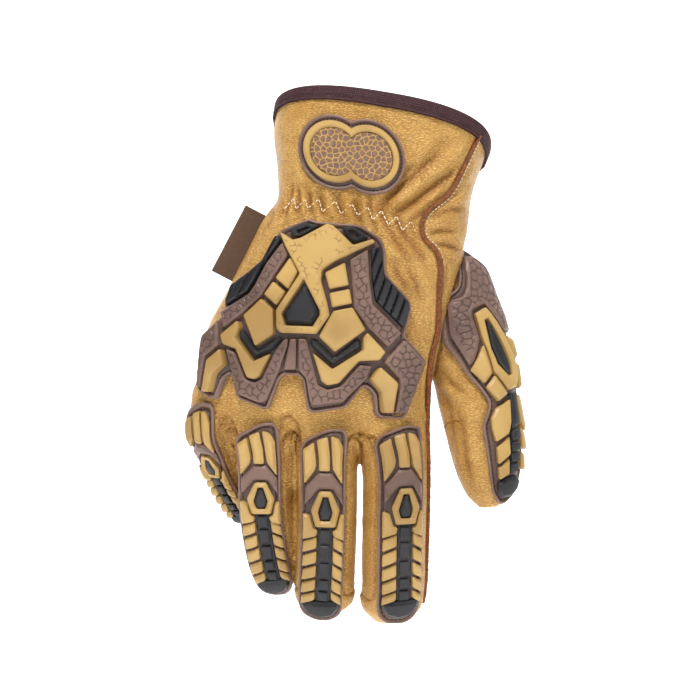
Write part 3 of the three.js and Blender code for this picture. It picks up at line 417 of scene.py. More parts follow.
def flat_sheet(loops: Sequence[Array], offsets: Sequence[float], spacing: float) -> FlatSheet:
    """Triangulates an outline finely enough to carry relief.

    Points lie on the edge, on copies of it moved inwards by each offset, and on a triangular
    grid over the rest.

    Args:
        loops: Outer loop anticlockwise, and any hole clockwise.
        offsets: Distances of the copies from the edge.
        spacing: Spacing of the grid.

    Returns:
        The sheet.
    """
    layers = [np.vstack(loops)]
    for offset in offsets:
        moved = np.vstack([loop + inward(loop) * offset for loop in loops])
        moved = moved[(border_distance(moved, loops) > offset * 0.94) & within(moved, loops)]
        _, first = np.unique(np.round(moved / 0.3).astype(int), axis=0, return_index=True)
        layers.append(moved[np.sort(first)])
    grid = triangular_grid(layers[0].min(axis=0), layers[0].max(axis=0), spacing)
    grid = grid[within(grid, loops)]
    layers.append(grid[border_distance(grid, loops) > offsets[-1] + 0.45 * spacing])
    ends = np.cumsum([0] + [len(loop) for loop in loops]).tolist()
    pairs = list(zip(ends[:-1], ends[1:]))
    links = [(i, i + 1 if i + 1 < end else start) for start, end in pairs for i in range(start, end)]
    flat = [Vector(point) for point in np.vstack(layers).tolist()]
    placed, _, faces, origins, _, _ = delaunay_2d_cdt(flat, links, [], 0, 1e-4)
    points = np.array([tuple(point) for point in placed])
    tris = np.array([face for face in faces if len(face) == 3])
    tris = tris[within(points[tris].mean(axis=1), loops)]
    new_index = np.zeros(len(flat), int)
    for index, origin in enumerate(origins):
        new_index[origin] = index
    return FlatSheet(points, tris, border_distance(points, loops), [new_index[a:b] for a, b in pairs])


def cell_borders(points: Array, pitch: float, seed: int) -> Array:
    """Distance of each flat point to the border of its cell in an irregular cobble pattern.

    The cells belong to the points of a triangular grid, each moved by up to a third of the
    pitch. The distance is half the difference between those to the two nearest of them.

    Args:
        points: Flat points.
        pitch: Spacing of the cells.
        seed: Seed of the moves.

    Returns:
        A distance for each point.
    """
    seeds = triangular_grid(points.min(axis=0) - 2 * pitch, points.max(axis=0) + 2 * pitch, pitch)
    seeds = seeds + np.random.default_rng(seed).uniform(-0.33, 0.33, seeds.shape) * pitch
    parts = []
    for part in chunks(points):
        nearest = np.partition(np.linalg.norm(part[:, None] - seeds, axis=-1), 1, axis=1)
        parts.append((nearest[:, 1] - nearest[:, 0]) / 2)
    return np.concatenate(parts)


class Top(Enum):
    """How the top of a moulded block is shaped."""

    FLAT = "flat"
    COBBLED = "cobbled"
    CRACKED = "cracked"
    VEINED = "veined"
    RIBBED = "ribbed"
    ROOFED = "roofed"
    OVERLAPPING = "overlapping"


@dataclass(frozen=True)
class Block:
    """Moulded block: a flat outline with a height, a chamfer and a kind of top."""

    outline: Outline
    height: float
    hole: Outline | None = None
    top: Top = Top.FLAT
    chamfer: float = 0.8
    corner: float = 0.9
    slant: float = 0.0

    def rise(self, points: Array, edge: Array) -> tuple[Array, Array]:
        """Height of the top over the block's foot, and a mask of its raised or sunken lines.

        Args:
            points: Flat points.
            edge: Their distances to the outline.

        Returns:
            The heights, and the mask from 0 to 1.
        """
        lines = np.zeros(len(points))
        if self.top is Top.ROOFED:
            return self.height - 1.5 + np.minimum(edge * 1.1, 1.5), lines
        rise = self.height - self.chamfer * 0.9 * (1 - np.clip(edge / self.chamfer, 0, 1))
        rise = rise + 0.35 * (1 - np.exp(-edge / 4))
        inside = ramp(edge, self.chamfer, self.chamfer + 0.7)
        if self.top is Top.COBBLED:
            lines = inside * (1 - ramp(cell_borders(points, 3.7, SEED), 0.08, 0.42))
            rise = rise - 0.5 * lines + 0.12 * lattice_noise(np.c_[points, edge * 0], 2.5, SEED)
        elif self.top is Top.CRACKED:
            broken = ramp(lattice_noise(np.c_[points, edge * 0], 3.0, SEED + 5), -0.25, 0.15)
            near = inside * (1 - ramp(edge, 3.6, 5.2)) * broken
            lines = near * (1 - ramp(cell_borders(points, 3.0, SEED), 0.06, 0.34))
            rise = rise - 0.3 * lines
        elif self.top is Top.VEINED:
            lines = 1 - ramp(cell_borders(points, 3.1, SEED), 0.12, 0.36)
            rise = rise + 0.4 * lines
        elif self.top is Top.RIBBED:
            turned = points[:, 0] * math.cos(self.slant) + points[:, 1] * math.sin(self.slant)
            away = np.abs((turned / 4.1) % 1 - 0.5) * 4.1
            lines = 1 - ramp(away, 0.15, 0.7)
            rise = rise - 1.3 * lines
        elif self.top is Top.OVERLAPPING:
            down = points[:, 1]
            rise = rise * (0.62 + 0.38 * (down.max() - down) / np.ptp(down))
        return rise, lines


def moulded(block: Block, low: float, place: Placer, sunk: float = 0.5, fine: float = 1.2) -> Shape:
    """Closed moulded block on a surface.

    The outline's sheet is placed twice on the surface, at the block's top and a little below its
    foot, and walls join the two along the outline.

    Args:
        block: The block.
        low: Height of its foot over the leather.
        place: Puts flat points at heights over the leather.
        sunk: How far it goes on below its foot.
        fine: Grid spacing of a plain top.

    Returns:
        The block, with its edge and lines as masks.
    """
    lined = block.top in (Top.COBBLED, Top.CRACKED, Top.RIBBED)
    spacing = {
        Top.VEINED: 0.3, Top.COBBLED: 0.5, Top.CRACKED: 0.45, Top.RIBBED: 0.5, Top.ROOFED: 0.8
    }.get(block.top, fine)
    loops = [rounded(block.outline, block.corner, 0.6 if lined else 0.9)]
    if block.hole:
        loops.append(rounded(block.hole, block.corner * 0.6, 0.7)[::-1])
    offsets = (0.3, block.chamfer, block.chamfer + 0.35)
    sheet = flat_sheet(loops, offsets, spacing)
    rise, lines = block.rise(sheet.points, sheet.edge)
    # In the moulded finishes the lines mask is painted shade in the sunken lines and the edge mask is painted
    # light on the chamfers; on the badge's ground the lines are its veins.
    masks = {"edge": 1 - ramp(sheet.edge, 0.1, block.chamfer + 0.3), "lines": lines}
    return thickened(sheet, low + rise, np.full(len(rise), low - sunk), place, masks)


def thickened(sheet: FlatSheet, high: Array, low: Array, place: Placer, masks: dict[str, Array]) -> Shape:
    """Closed shape between a flat sheet placed at two heights, with walls along its loops.

    Args:
        sheet: The flat sheet.
        high: Height of each point's upper copy.
        low: Height of each point's lower copy.
        place: Puts flat points at heights over the leather.
        masks: Masks of the upper copy; the lower one has the same.

    Returns:
        The shape.
    """
    x, y = sheet.points.T
    count = len(x)
    points = np.vstack([place(x, y, high), place(x, y, low)])
    tris = np.vstack([sheet.tris, sheet.tris[:, ::-1] + count])
    walls = [np.stack([loop, np.roll(loop, -1), np.roll(loop, -1) + count, loop + count], axis=1)
             for loop in sheet.loops]
    doubled = {name: np.tile(mask, 2) for name, mask in masks.items()}
    return Shape(points, tris, np.vstack(walls)[:, ::-1], doubled).outward()


@dataclass(frozen=True)
class Flange:
    """Moulded base sheet with a bead along its edge and a sunken channel for the stitches."""

    thickness: float = 1.7
    bead: float = 0.9
    bead_width: float = 1.5
    channel: float = 2.15
    channel_depth: float = 0.55
    stitch: float = 1.5
    stitch_pitch: float = 2.2

    def rise(self, edge: Array) -> Array:
        """Height of the top: a round bead, then a channel, then level.

        Args:
            edge: Distances to the outline.

        Returns:
            Heights over the underside.
        """
        across = np.clip(edge / self.bead_width, 0, 1) * 2 - 1
        bead = self.bead * np.sqrt(np.clip(1 - across**2 * 0.92, 0, 1))
        dip = np.exp(-(((edge - self.channel) / 0.45) ** 2))
        return self.thickness + np.where(edge < self.bead_width, bead, 0) - self.channel_depth * dip

    def sheet(self, outline: Array, low: float, place: Placer, spacing: float = 1.5) -> Shape:
        """The base sheet of an outline, at a height over the leather."""
        flat = flat_sheet([outline], (0.2, 0.45, 0.75, 1.1, 1.4, 1.75, 2.15, 2.6), spacing)
        # Painted shade: the lines mask darkens the sunken channel and the floor inside it that shows between
        # the plates. The edge mask gives the bead the edge colour, a painted highlight on the brown rubber.
        past = flat.edge - self.channel
        lines = np.maximum(np.exp(-((past / 0.5) ** 2)), ramp(flat.edge, self.channel, self.channel + 1.2))
        masks = {"edge": 1 - ramp(flat.edge, 0.9, 1.5), "lines": lines}
        return thickened(flat, low + self.rise(flat.edge), np.full(len(flat.edge), low), place, masks)

    def stitches(self, outline: Array, low: float, place: Placer) -> Shape:
        """Row of stitches along the middle of the channel.

        Args:
            outline: The outline, running anticlockwise.
            low: Height of the sheet's underside.
            place: Puts flat points at heights over the leather.

        Returns:
            The stitches.
        """
        moved = outline + inward(outline) * self.channel
        moved = moved[border_distance(moved, [outline]) > 0.95 * self.channel]
        moved = np.vstack([moved, moved[:1]])
        run = run_of(moved)
        heads = np.arange(0, run[-1] - self.stitch, self.stitch_pitch)
        ends = [read_at(at, run, moved) for at in (heads, heads + self.stitch)]
        height = low + self.thickness - self.channel_depth + 0.15
        first, last, above = (
            place(flat[:, 0], flat[:, 1], np.full(len(flat), h))
            for flat, h in ((ends[0], height), (ends[1], height), (ends[0], height + 1))
        )
        return capsules(first, last, unit(above - first), 0.3, 0.25)


# The hand's form


@dataclass(frozen=True)
class Sleeve:
    """Cuff and palm: rounded rectangles through a table of sections.

    Columns: drop as a share of length; centre and breadth of breadth; forward and depth of
    depth; roll and tilt of the section in degrees.
    """

    length: float = 148.5
    breadth: float = 115.6
    depth: float = 48.0
    squareness: float = 2.5
    crown: float = 4.0
    rows: tuple[tuple[float, ...], ...] = (
        (0, 0.004, 0.905, 0, 1.38, 9.5, 24),
        (0.076, -0.02, 0.874, 0.06, 1.33, 10, 22),
        (0.162, -0.032, 0.83, 0.12, 1.21, 11, 19),
        (0.25, -0.038, 0.808, 0.17, 1.11, 11.5, 16),
        (0.307, -0.044, 0.8, 0.2, 1.06, 11.7, 13),
        (0.36, -0.074, 0.843, 0.21, 1.07, 11, 10),
        (0.432, -0.114, 0.873, 0.22, 1.08, 9, 8),
        (0.571, -0.184, 0.928, 0.22, 1.04, 7, 4),
        (0.719, -0.257, 0.989, 0.2, 0.98, 4, 2),
        (0.851, -0.284, 0.983, 0.18, 0.9, 2, 0),
        (0.95, -0.28, 0.957, 0.17, 0.76, 0, 0),
        (1, -0.237, 0.856, 0.16, 0.6, 0, 0),
    )

    @cached_property
    def sections(self) -> tuple[Array, Array]:
        """Keys of the table, and its rows as centre, half breadth, forward, half depth and slopes."""
        table = np.array(self.rows)
        scale = np.array([self.breadth, self.breadth / 2, -self.depth, self.depth / 2])
        return table[:, 0], np.hstack([table[:, 1:5] * scale, np.tan(np.radians(table[:, 5:7]))])

    def section(self, drop: Array) -> Array:
        """Section at each drop: centre, half breadth, forward, half depth, roll and tilt."""
        keys, values = self.sections
        return smooth_rows(keys, values, np.asarray(drop, float))

    def point(self, drop: Array, angle: Array, offset: Array | float) -> Array:
        """Points of the surface moved outwards. The angle is 0 at the thumb side, 90 at the back."""
        centre, half, forward, deep, roll, tilt = np.moveaxis(self.section(drop), -1, 0)
        c, s = squircle(angle, self.squareness)
        across, front = (half + offset) * c, (deep + offset) * s
        return np.stack(
            [centre + across, forward - front, -drop * self.length - across * roll + front * tilt], axis=-1
        )

    def place(self, x: Array, z: Array, height: Array | float, crown: float | None = None) -> Array:
        """Points on the back of the hand under points of the front view.

        The drop is corrected a few times until the point at the crown's height has the z asked for.

        Args:
            x: Across, towards the thumb.
            z: Up, towards the cuff.
            height: Height over the leather.
            crown: Height at which the front view is met, where it isn't the guard's.

        Returns:
            Points in space.
        """
        drop = -np.asarray(z, float) / self.length
        angle = np.zeros_like(drop)
        level = self.crown if crown is None else crown
        for _ in range(12):
            centre, half = np.moveaxis(self.section(drop), -1, 0)[:2]
            share = np.clip((x - centre) / (half + level), -0.985, 0.985)
            angle = np.arccos(np.sign(share) * np.abs(share) ** (self.squareness / 2))
            drop = drop + (self.point(drop, angle, level)[..., 2] - z) / self.length
        return self.point(drop, angle, height)

    def depth_in(self, points: Array) -> tuple[Array, Array, Array]:
        """Where points lie against the surface.

        Args:
            points: Places, one a row.

        Returns:
            Drop, distance outwards from the section's middle ring, and distance behind its
            middle plane towards the palm.
        """
        drop = -points[:, 2] / self.length
        for _ in range(6):
            centre, half, forward, deep, roll, tilt = self.section(np.clip(drop, -0.1, 1.05)).T
            across, front = points[:, 0] - centre, forward - points[:, 1]
            drop = -(points[:, 2] + across * roll - front * tilt) / self.length
        n = self.squareness
        reach = (np.abs(across / half) ** n + np.abs(front / deep) ** n) ** (1 / n)
        away = np.hypot(across, front) * (1 - 1 / np.maximum(reach, 0.05))
        away = np.maximum(away, (drop - 1) * self.length)
        return drop, away, -front


@dataclass(frozen=True)
class Digit:
    """Finger or thumb: rounded sections along a bent middle line.

    Row columns: down, side and back as shares of length from the root; width and depth as
    shares of the digit's own.
    """

    name: str
    length: float
    width: float
    depth: float
    root: tuple[float, float, float]
    twist: float
    guard_spread: float
    guard_span: tuple[float, float]
    rows: tuple[tuple[float, ...], ...]
    squareness: float = 2.3

    @cached_property
    def stations(self) -> tuple[Array, Array]:
        """Keys, and centre, axis, back and side directions, half width, half depth and lean."""
        table = np.array(self.rows)
        centre = np.stack([table[:, 1], table[:, 2], -table[:, 0]], axis=1) * self.length + self.root
        steps = np.arange(len(table))
        after, before = np.minimum(steps + 1, steps[-1]), np.maximum(steps - 1, 0)
        along = centre[after] - centre[before]
        run = np.linalg.norm(along, axis=1)
        shrink = (table[before, 3] - table[after, 3]) * self.width / 2 / run
        lean = np.where(steps > len(table) / 2, np.arctan(shrink), 0)
        axis = unit(along)
        turn = math.radians(self.twist)
        facing = np.array([math.sin(turn), -math.cos(turn), 0])
        back = unit(facing - axis * (axis @ facing)[:, None])
        side = np.cross(back, axis)
        half, deep = table[:, 3] * self.width / 2, table[:, 4] * self.depth / 2
        return table[:, 0], np.hstack([centre, axis, back, side, np.c_[half, deep, lean]])

    def section(self, down: Array) -> Array:
        """Station at each share of the length."""
        keys, values = self.stations
        return smooth_rows(keys, values, np.asarray(down, float))

    def point(self, down: Array, angle: Array, offset: Array | float) -> Array:
        """Points of the surface moved outwards. The angle is 90 at the digit's back."""
        centre, axis, back, side, sizes = np.split(self.section(down), (3, 6, 9, 12), axis=-1)
        half, deep, lean = np.moveaxis(sizes, -1, 0)
        c, s = squircle(angle, self.squareness)
        radial = offset * np.cos(lean)
        moved = centre + side * ((half + radial) * c)[..., None] + back * ((deep + radial) * s)[..., None]
        return moved + axis * (offset * np.sin(lean))[..., None]

    def place(self, x: Array, y: Array, height: Array | float) -> Array:
        """Points on the back of the digit under flat points: x across, -y down its length."""
        share = np.clip(x / (self.width / 2), -0.985, 0.985)
        angle = np.arccos(np.sign(share) * np.abs(share) ** (self.squareness / 2))
        return self.point(-y / self.length, angle, height)

    def flat(self, across: float, down: float) -> tuple[float, float]:
        """Flat point of a guard's shares: across its spread and down its span."""
        start, end = self.guard_span
        return across * self.guard_spread * self.width / 2, -(start + (end - start) * down) * self.length

    def outline(self, shares: Sequence[Sequence[float]]) -> Outline:
        """Flat outline of a list of guard shares."""
        return tuple(self.flat(across, down) for across, down in shares)

    def depth_in(self, points: Array) -> tuple[Array, Array, Array, Array]:
        """Where points lie against the surface.

        The nearest of 60 stations is found first, and then corrected along its axis.

        Args:
            points: Places, one a row.

        Returns:
            Share of the length, share of the half width across, distance behind the middle
            towards the palm, and distance outwards from the surface.
        """
        downs = np.linspace(self.rows[0][0], 1, 60)
        centres = self.section(downs)[:, :3]
        near = downs[((centres**2).sum(axis=1) - 2 * points @ centres.T).argmin(axis=1)]
        centre, axis = np.split(self.section(near), (3, 6), axis=1)[:2]
        down = near + ((points - centre) * axis).sum(axis=1) / self.length
        station = self.section(np.clip(down, downs[0], 1))
        centre, _, back, side, sizes = np.split(station, (3, 6, 9, 12), axis=1)
        half, deep, _ = sizes.T
        across = ((points - centre) * side).sum(axis=1) / half
        behind = -((points - centre) * back).sum(axis=1)
        n = self.squareness
        reach = (np.abs(across) ** n + np.abs(behind / deep) ** n) ** (1 / n)
        away = np.hypot(across * half, behind) * (1 - 1 / np.maximum(reach, 0.05))
        outside = np.maximum(down - 1, downs[0] - down) * self.length
        return down, across, behind, np.maximum(away, outside)


SLEEVE = Sleeve()


def rooted(side: float, drop: float, forward: float) -> tuple[float, float, float]:
    """Root of a digit from its shares of the palm's breadth, length and depth."""
    return side * SLEEVE.breadth, -forward * SLEEVE.depth, -drop * SLEEVE.length


INDEX = Digit(
    "index", 110, 34.8, 34, rooted(0.045, 0.901, 0.175), 11, 0.61, (0.115, 0.945),
    (
        (0, 0, 0, 0.87, 1), (0.171, -0.007, -0.005, 1, 0.92),
        (0.248, 0.004, -0.005, 0.945, 0.87), (0.563, 0.008, 0.028, 0.905, 0.82),
        (0.721, 0.006, 0.074, 0.9, 0.79), (0.847, 0.005, 0.129, 0.88, 0.77),
        (0.935, -0.006, 0.176, 0.84, 0.66), (1, -0.01, 0.211, 0.42, 0.28),
    ),
)
MIDDLE = Digit(
    "middle", 106.3, 33.3, 34, rooted(-0.229, 0.901, 0.188), -8, 0.64, (0.137, 0.98),
    (
        (0, 0, 0, 0.91, 1), (0.147, -0.002, -0.005, 1, 0.92),
        (0.253, -0.003, -0.009, 0.92, 0.87), (0.576, -0.006, 0.028, 0.885, 0.82),
        (0.737, -0.01, 0.075, 0.87, 0.79), (0.857, -0.016, 0.127, 0.865, 0.74),
        (0.94, -0.018, 0.17, 0.83, 0.62), (1, -0.014, 0.202, 0.38, 0.26),
    ),
)
RING = Digit(
    "ring", 98, 30.4, 33, rooted(-0.508, 0.875, 0.16), -15, 0.65, (0.148, 0.975),
    (
        (0, 0, 0, 0.94, 1), (0.157, 0.008, -0.002, 1.02, 0.98),
        (0.284, 0.018, 0.01, 0.95, 0.88), (0.603, 0.028, 0.09, 0.93, 0.82),
        (0.75, 0.046, 0.15, 0.91, 0.79), (0.863, 0.067, 0.21, 0.85, 0.73),
        (0.945, 0.086, 0.262, 0.68, 0.57), (1, 0.103, 0.295, 0.19, 0.18),
    ),
)
LITTLE = Digit(
    "little", 60.3, 25.5, 28, rooted(-0.702, 0.875, 0.12), -35, 0.57, (0.07, 0.975),
    (
        (-0.14, 0.08, 0, 0.78, 0.86), (0.06, 0.01, 0.01, 0.97, 0.98),
        (0.19, 0.002, 0.036, 1, 1), (0.39, 0.058, 0.18, 0.96, 0.92), (0.577, 0.115, 0.34, 0.94, 0.88),
        (0.764, 0.196, 0.48, 0.92, 0.86), (0.902, 0.277, 0.59, 0.81, 0.75),
        (0.967, 0.325, 0.65, 0.58, 0.5), (1, 0.35, 0.69, 0.27, 0.22),
    ),
)
THUMB = Digit(
    "thumb", 121, 37.2, 35, rooted(0.265, 0.446, 0.02), 42, 1, (0, 1),
    (
        (-0.016, -0.06, 0, 0.54, 0.74), (0.065, 0.008, 0.008, 0.76, 0.86),
        (0.178, 0.042, 0.017, 0.89, 0.94), (0.3, 0.073, 0.017, 1, 1),
        (0.429, 0.105, 0.008, 0.97, 1), (0.559, 0.127, 0, 0.95, 0.97),
        (0.68, 0.149, -0.008, 0.89, 0.91), (0.802, 0.166, -0.017, 0.79, 0.83),
        (0.891, 0.176, -0.025, 0.65, 0.69), (0.96, 0.181, -0.033, 0.45, 0.49),
        (1, 0.184, -0.037, 0.23, 0.23),
    ),
)
FINGERS = (INDEX, MIDDLE, RING, LITTLE)

SEAT = 0.65
GUARD_TOP = SEAT + 1.7
PLATE_FOOT = GUARD_TOP - 0.1

# Seam along the thumb side of the back, as points of the front view from the cuff down.
SEAM = np.array([
    (48, -3.4), (46.5, -5.9), (40.7, -17.7), (33.3, -31.9), (20.6, -43.7), (18.7, -49), (20.6, -56),
    (26, -60.9), (28.2, -70.1), (27.3, -85.2), (26.8, -100.5), (24, -111.7), (22.4, -124.7),
    (21.7, -148.5),
])


# Materials


class Wiring:
    """Adds nodes to a node tree, giving each socket a value or a link."""

    def __init__(self, tree: bpy.types.NodeTree) -> None:
        """Starts on a tree."""
        self.tree = tree

    def plug(self, node: Node, sockets: dict) -> None:
        """Gives inputs of a node their values, or links from other nodes' outputs.

        Args:
            node: The node.
            sockets: Values or output sockets by input name or number.
        """
        for name, value in sockets.items():
            if isinstance(value, Socket):
                self.tree.links.new(value, node.inputs[name])
            else:
                node.inputs[name].default_value = value

    def add(self, kind: str, sockets: dict | None = None, **settings: object) -> Node:
        """Adds a node.

        Args:
            kind: Node type, without its ShaderNode prefix.
            sockets: Values or output sockets by input name or number.
            **settings: Properties of the node.

        Returns:
            The node.
        """
        node = self.tree.nodes.new(kind if kind.startswith("Node") else "ShaderNode" + kind)
        for name, value in settings.items():
            setattr(node, name, value)
        self.plug(node, sockets or {})
        return node

    def scaled(self, vector: Socket, factor: object) -> Socket:
        """A vector times a number."""
        return self.add("VectorMath", {0: vector, "Scale": factor}, operation="SCALE").outputs[0]

    def vector(self, operation: str, a: object, b: object) -> Socket:
        """Result of a Vector Math node."""
        return self.add("VectorMath", {0: a, 1: b}, operation=operation).outputs[0]

    def math(self, operation: str, a: object, b: object = 0.0, c: object = 0.0) -> Socket:
        """Result of a Math node."""
        return self.add("Math", {0: a, 1: b, 2: c}, operation=operation).outputs[0]

    def mapped(self, value: object, low: float, high: float, to: tuple[float, float] = (0, 1)) -> Socket:
        """A value carried smoothly from one range to another."""
        sockets = {0: value, 1: low, 2: high, 3: to[0], 4: to[1]}
        return self.add("MapRange", sockets, interpolation_type="SMOOTHSTEP").outputs[0]

    def mixed(self, factor: object, first: object, second: object) -> Socket:
        """Two colours mixed."""
        return self.add("Mix", {0: factor, 6: first, 7: second}, data_type="RGBA").outputs[2]

    def noise(self, vector: Socket, scale: float, detail: float = 2.0) -> Socket:
        """Value of a Noise Texture."""
        return self.add("TexNoise", {"Vector": vector, "Scale": scale, "Detail": detail}).outputs[0]

    def mask(self, name: str) -> Socket:
        """A mask that the mesh's points carry."""
        return self.add("Attribute", attribute_name=name).outputs["Fac"]

    def bump(self, height: Socket, distance: float, strength: float = 1.0) -> Socket:
        """Normal that a height gives."""
        return self.add("Bump", {"Height": height, "Distance": distance, "Strength": strength}).outputs[0]


def shader_group(
    name: str, inputs: Sequence[tuple[str, str, object]], outputs: Sequence[tuple[str, str]]
) -> tuple[bpy.types.NodeTree, Wiring, Node, Node]:
    """Empty shader node group with sockets.

    Args:
        name: Name of the group.
        inputs: Name, socket type and default of each input.
        outputs: Name and socket type of each output.

    Returns:
        The group, its wiring, its input node and its output node.
    """
    tree = bpy.data.node_groups.new(name, "ShaderNodeTree")
    for label, kind, default in inputs:
        socket = tree.interface.new_socket(label, in_out="INPUT", socket_type="NodeSocket" + kind)
        if default is not None:
            socket.default_value = default
    for label, kind in outputs:
        tree.interface.new_socket(label, in_out="OUTPUT", socket_type="NodeSocket" + kind)
    wiring = Wiring(tree)
    return tree, wiring, wiring.add("NodeGroupInput"), wiring.add("NodeGroupOutput")


def grain_group() -> bpy.types.NodeTree:
    """Pebbled grain: cells parted by creases, on coordinates bent by noise.

    Returns:
        A group from Vector, Cell size and Bend to Height, which is 1 on a pebble and 0 in a
        crease, and Crease, which is the other way round and broken up.
    """
    tree, w, given, out = shader_group(
        "pebbled_grain",
        (("Vector", "Vector", None), ("Cell", "Float", 0.001), ("Bend", "Float", 0.5)),
        (("Height", "Float"), ("Crease", "Float")),
    )
    flatter = w.vector("MULTIPLY", given.outputs["Vector"], (1.0, 1.0, 3.0))
    vector = w.scaled(flatter, w.math("DIVIDE", 1.0, given.outputs["Cell"]))
    noise = w.add("TexNoise", {"Vector": vector, "Scale": 0.9, "Detail": 2.0})
    moved = w.scaled(w.vector("SUBTRACT", noise.outputs["Color"], (0.5, 0.5, 0.5)), given.outputs["Bend"])
    bent = w.vector("ADD", vector, moved)
    voronoi = w.add("TexVoronoi", {"Vector": bent, "Scale": 1.0}, feature="DISTANCE_TO_EDGE")
    cells = voronoi.outputs["Distance"]
    height = w.math("MULTIPLY_ADD", w.noise(vector, 3.5, 3.0), 0.14, w.mapped(cells, 0.0, 0.2))
    broken = w.mapped(w.noise(vector, 0.16), 0.3, 0.62, (0.6, 1))
    crease = w.math("MULTIPLY", w.mapped(cells, 0.0, 0.17, (1, 0)), broken)
    w.plug(out, {"Height": height, "Crease": crease})
    return tree


def mottle_group() -> bpy.types.NodeTree:
    """Uneven tone: a colour varied lighter and darker in soft patches of two sizes.

    Returns:
        A group from Vector, Color, Dark, Light and Patch size to Color.
    """
    inputs = (
        ("Vector", "Vector", None), ("Color", "Color", (0.5, 0.5, 0.5, 1)),
        ("Dark", "Color", (0.3, 0.3, 0.3, 1)), ("Light", "Color", (0.8, 0.8, 0.8, 1)),
        ("Patch", "Float", 0.02),
    )
    tree, w, given, out = shader_group("uneven_tone", inputs, (("Color", "Color"),))
    base, dark, light = (given.outputs[label] for label in ("Color", "Dark", "Light"))
    vector = w.scaled(given.outputs["Vector"], w.math("DIVIDE", 1.0, given.outputs["Patch"]))
    broad = w.add("TexNoise", {"Vector": vector, "Scale": 1.0, "Detail": 3.0, "Roughness": 0.55}).outputs[0]
    darker = w.mixed(w.mapped(broad, 0.32, 0.58, (0.55, 0)), base, dark)
    lighter = w.mixed(w.mapped(w.noise(vector, 2.6), 0.45, 0.7, (0, 0.22)), darker, light)
    w.plug(out, {"Color": lighter})
    return tree


def weave_group() -> bpy.types.NodeTree:
    """Woven tape: threads crossing at right angles in the piece's own UV map.

    Returns:
        A group from UV in millimetres and Thread width to Height.
    """
    tree, w, given, out = shader_group(
        "woven_threads", (("Vector", "Vector", None), ("Thread", "Float", 0.6)), (("Height", "Float"),)
    )
    turns = w.scaled(given.outputs["Vector"], w.math("DIVIDE", math.pi, given.outputs["Thread"]))
    parts = w.add("SeparateXYZ", {0: turns})
    along, across = (w.math("ABSOLUTE", w.math("SINE", parts.outputs[i])) for i in (0, 1))
    w.plug(out, {"Height": w.math("MULTIPLY", along, across)})
    return tree


@dataclass
class Groups:
    """Shader groups that the finishes share, each built once."""

    grain: bpy.types.NodeTree = field(default_factory=grain_group)
    mottle: bpy.types.NodeTree = field(default_factory=mottle_group)
    weave: bpy.types.NodeTree = field(default_factory=weave_group)

    def toned(self, w: Wiring, vector: Socket, colours: Sequence[Colour], patch: float) -> Socket:
        """Uneven tone in a material.

        Args:
            w: The material's wiring.
            vector: Coordinates.
            colours: Base, dark and light colour.
            patch: Size of the patches.

        Returns:
            The colour.
        """
        base, dark, light = map(linear, colours)
        sockets = {"Vector": vector, "Color": base, "Dark": dark, "Light": light, "Patch": patch}
        return w.add("Group", sockets, node_tree=self.mottle).outputs[0]


Colour = tuple[float, float, float]


def linear(colour: Colour) -> tuple[float, float, float, float]:
    """A screen colour from 0 to 255 as linear light, opaque."""
    r, g, b = (((c / 255 + 0.055) / 1.055) ** 2.4 if c > 10 else c / 255 / 12.92 for c in colour)
    return r, g, b, 1.0


def new_material(name: str) -> tuple[Material, Wiring, Node]:
    """Material with an empty tree but for its Principled shader and output."""
    material = bpy.data.materials.new(name)
    material.use_nodes = True
    tree = material.node_tree
    tree.nodes.clear()
    w = Wiring(tree)
    shader = w.add("BsdfPrincipled")
    w.add("OutputMaterial", {"Surface": shader.outputs[0]})
    return material, w, shader


@dataclass(frozen=True)
class LeatherFinish:
    """Pebbled full-grain leather, with painted shade in its folds, knuckle creases and seams, where the
    grain's creases are drawn darker too.
    """

    name: str
    base: Colour
    dark: Colour
    light: Colour
    crease: Colour
    patch: float = 0.016
    cell: float = 0.0023
    bump: float = 0.00032
    roughness: float = 0.42

    def build(self, groups: Groups) -> Material:
        """Makes the material."""
        material, w, shader = new_material(self.name)
        vector = w.add("TexCoord").outputs["Object"]
        sockets = {"Vector": vector, "Cell": self.cell, "Bend": 0.7}
        height, creases = w.add("Group", sockets, node_tree=groups.grain).outputs[:2]
        tone = groups.toned(w, vector, (self.base, self.dark, self.light), self.patch)
        # Painted shade: the crease colour mixed into the folds, knuckle creases and seam grooves by the
        # mesh's shade mask.
        crease, valley = linear(self.crease), w.mask("valley")
        valley_shaded = w.mixed(w.math("MULTIPLY", valley, 0.72), tone, crease)
        # The grain's own creases, drawn darker where that painted shade lies.
        lined = w.math("MULTIPLY", creases, w.mapped(valley, 0.0, 0.8, (0.6, 0.95)))
        w.plug(shader, {
            "Base Color": w.mixed(lined, valley_shaded, crease), "Roughness": self.roughness,
            "Specular IOR Level": 0.3, "Normal": w.bump(height, self.bump),
        })
        return material


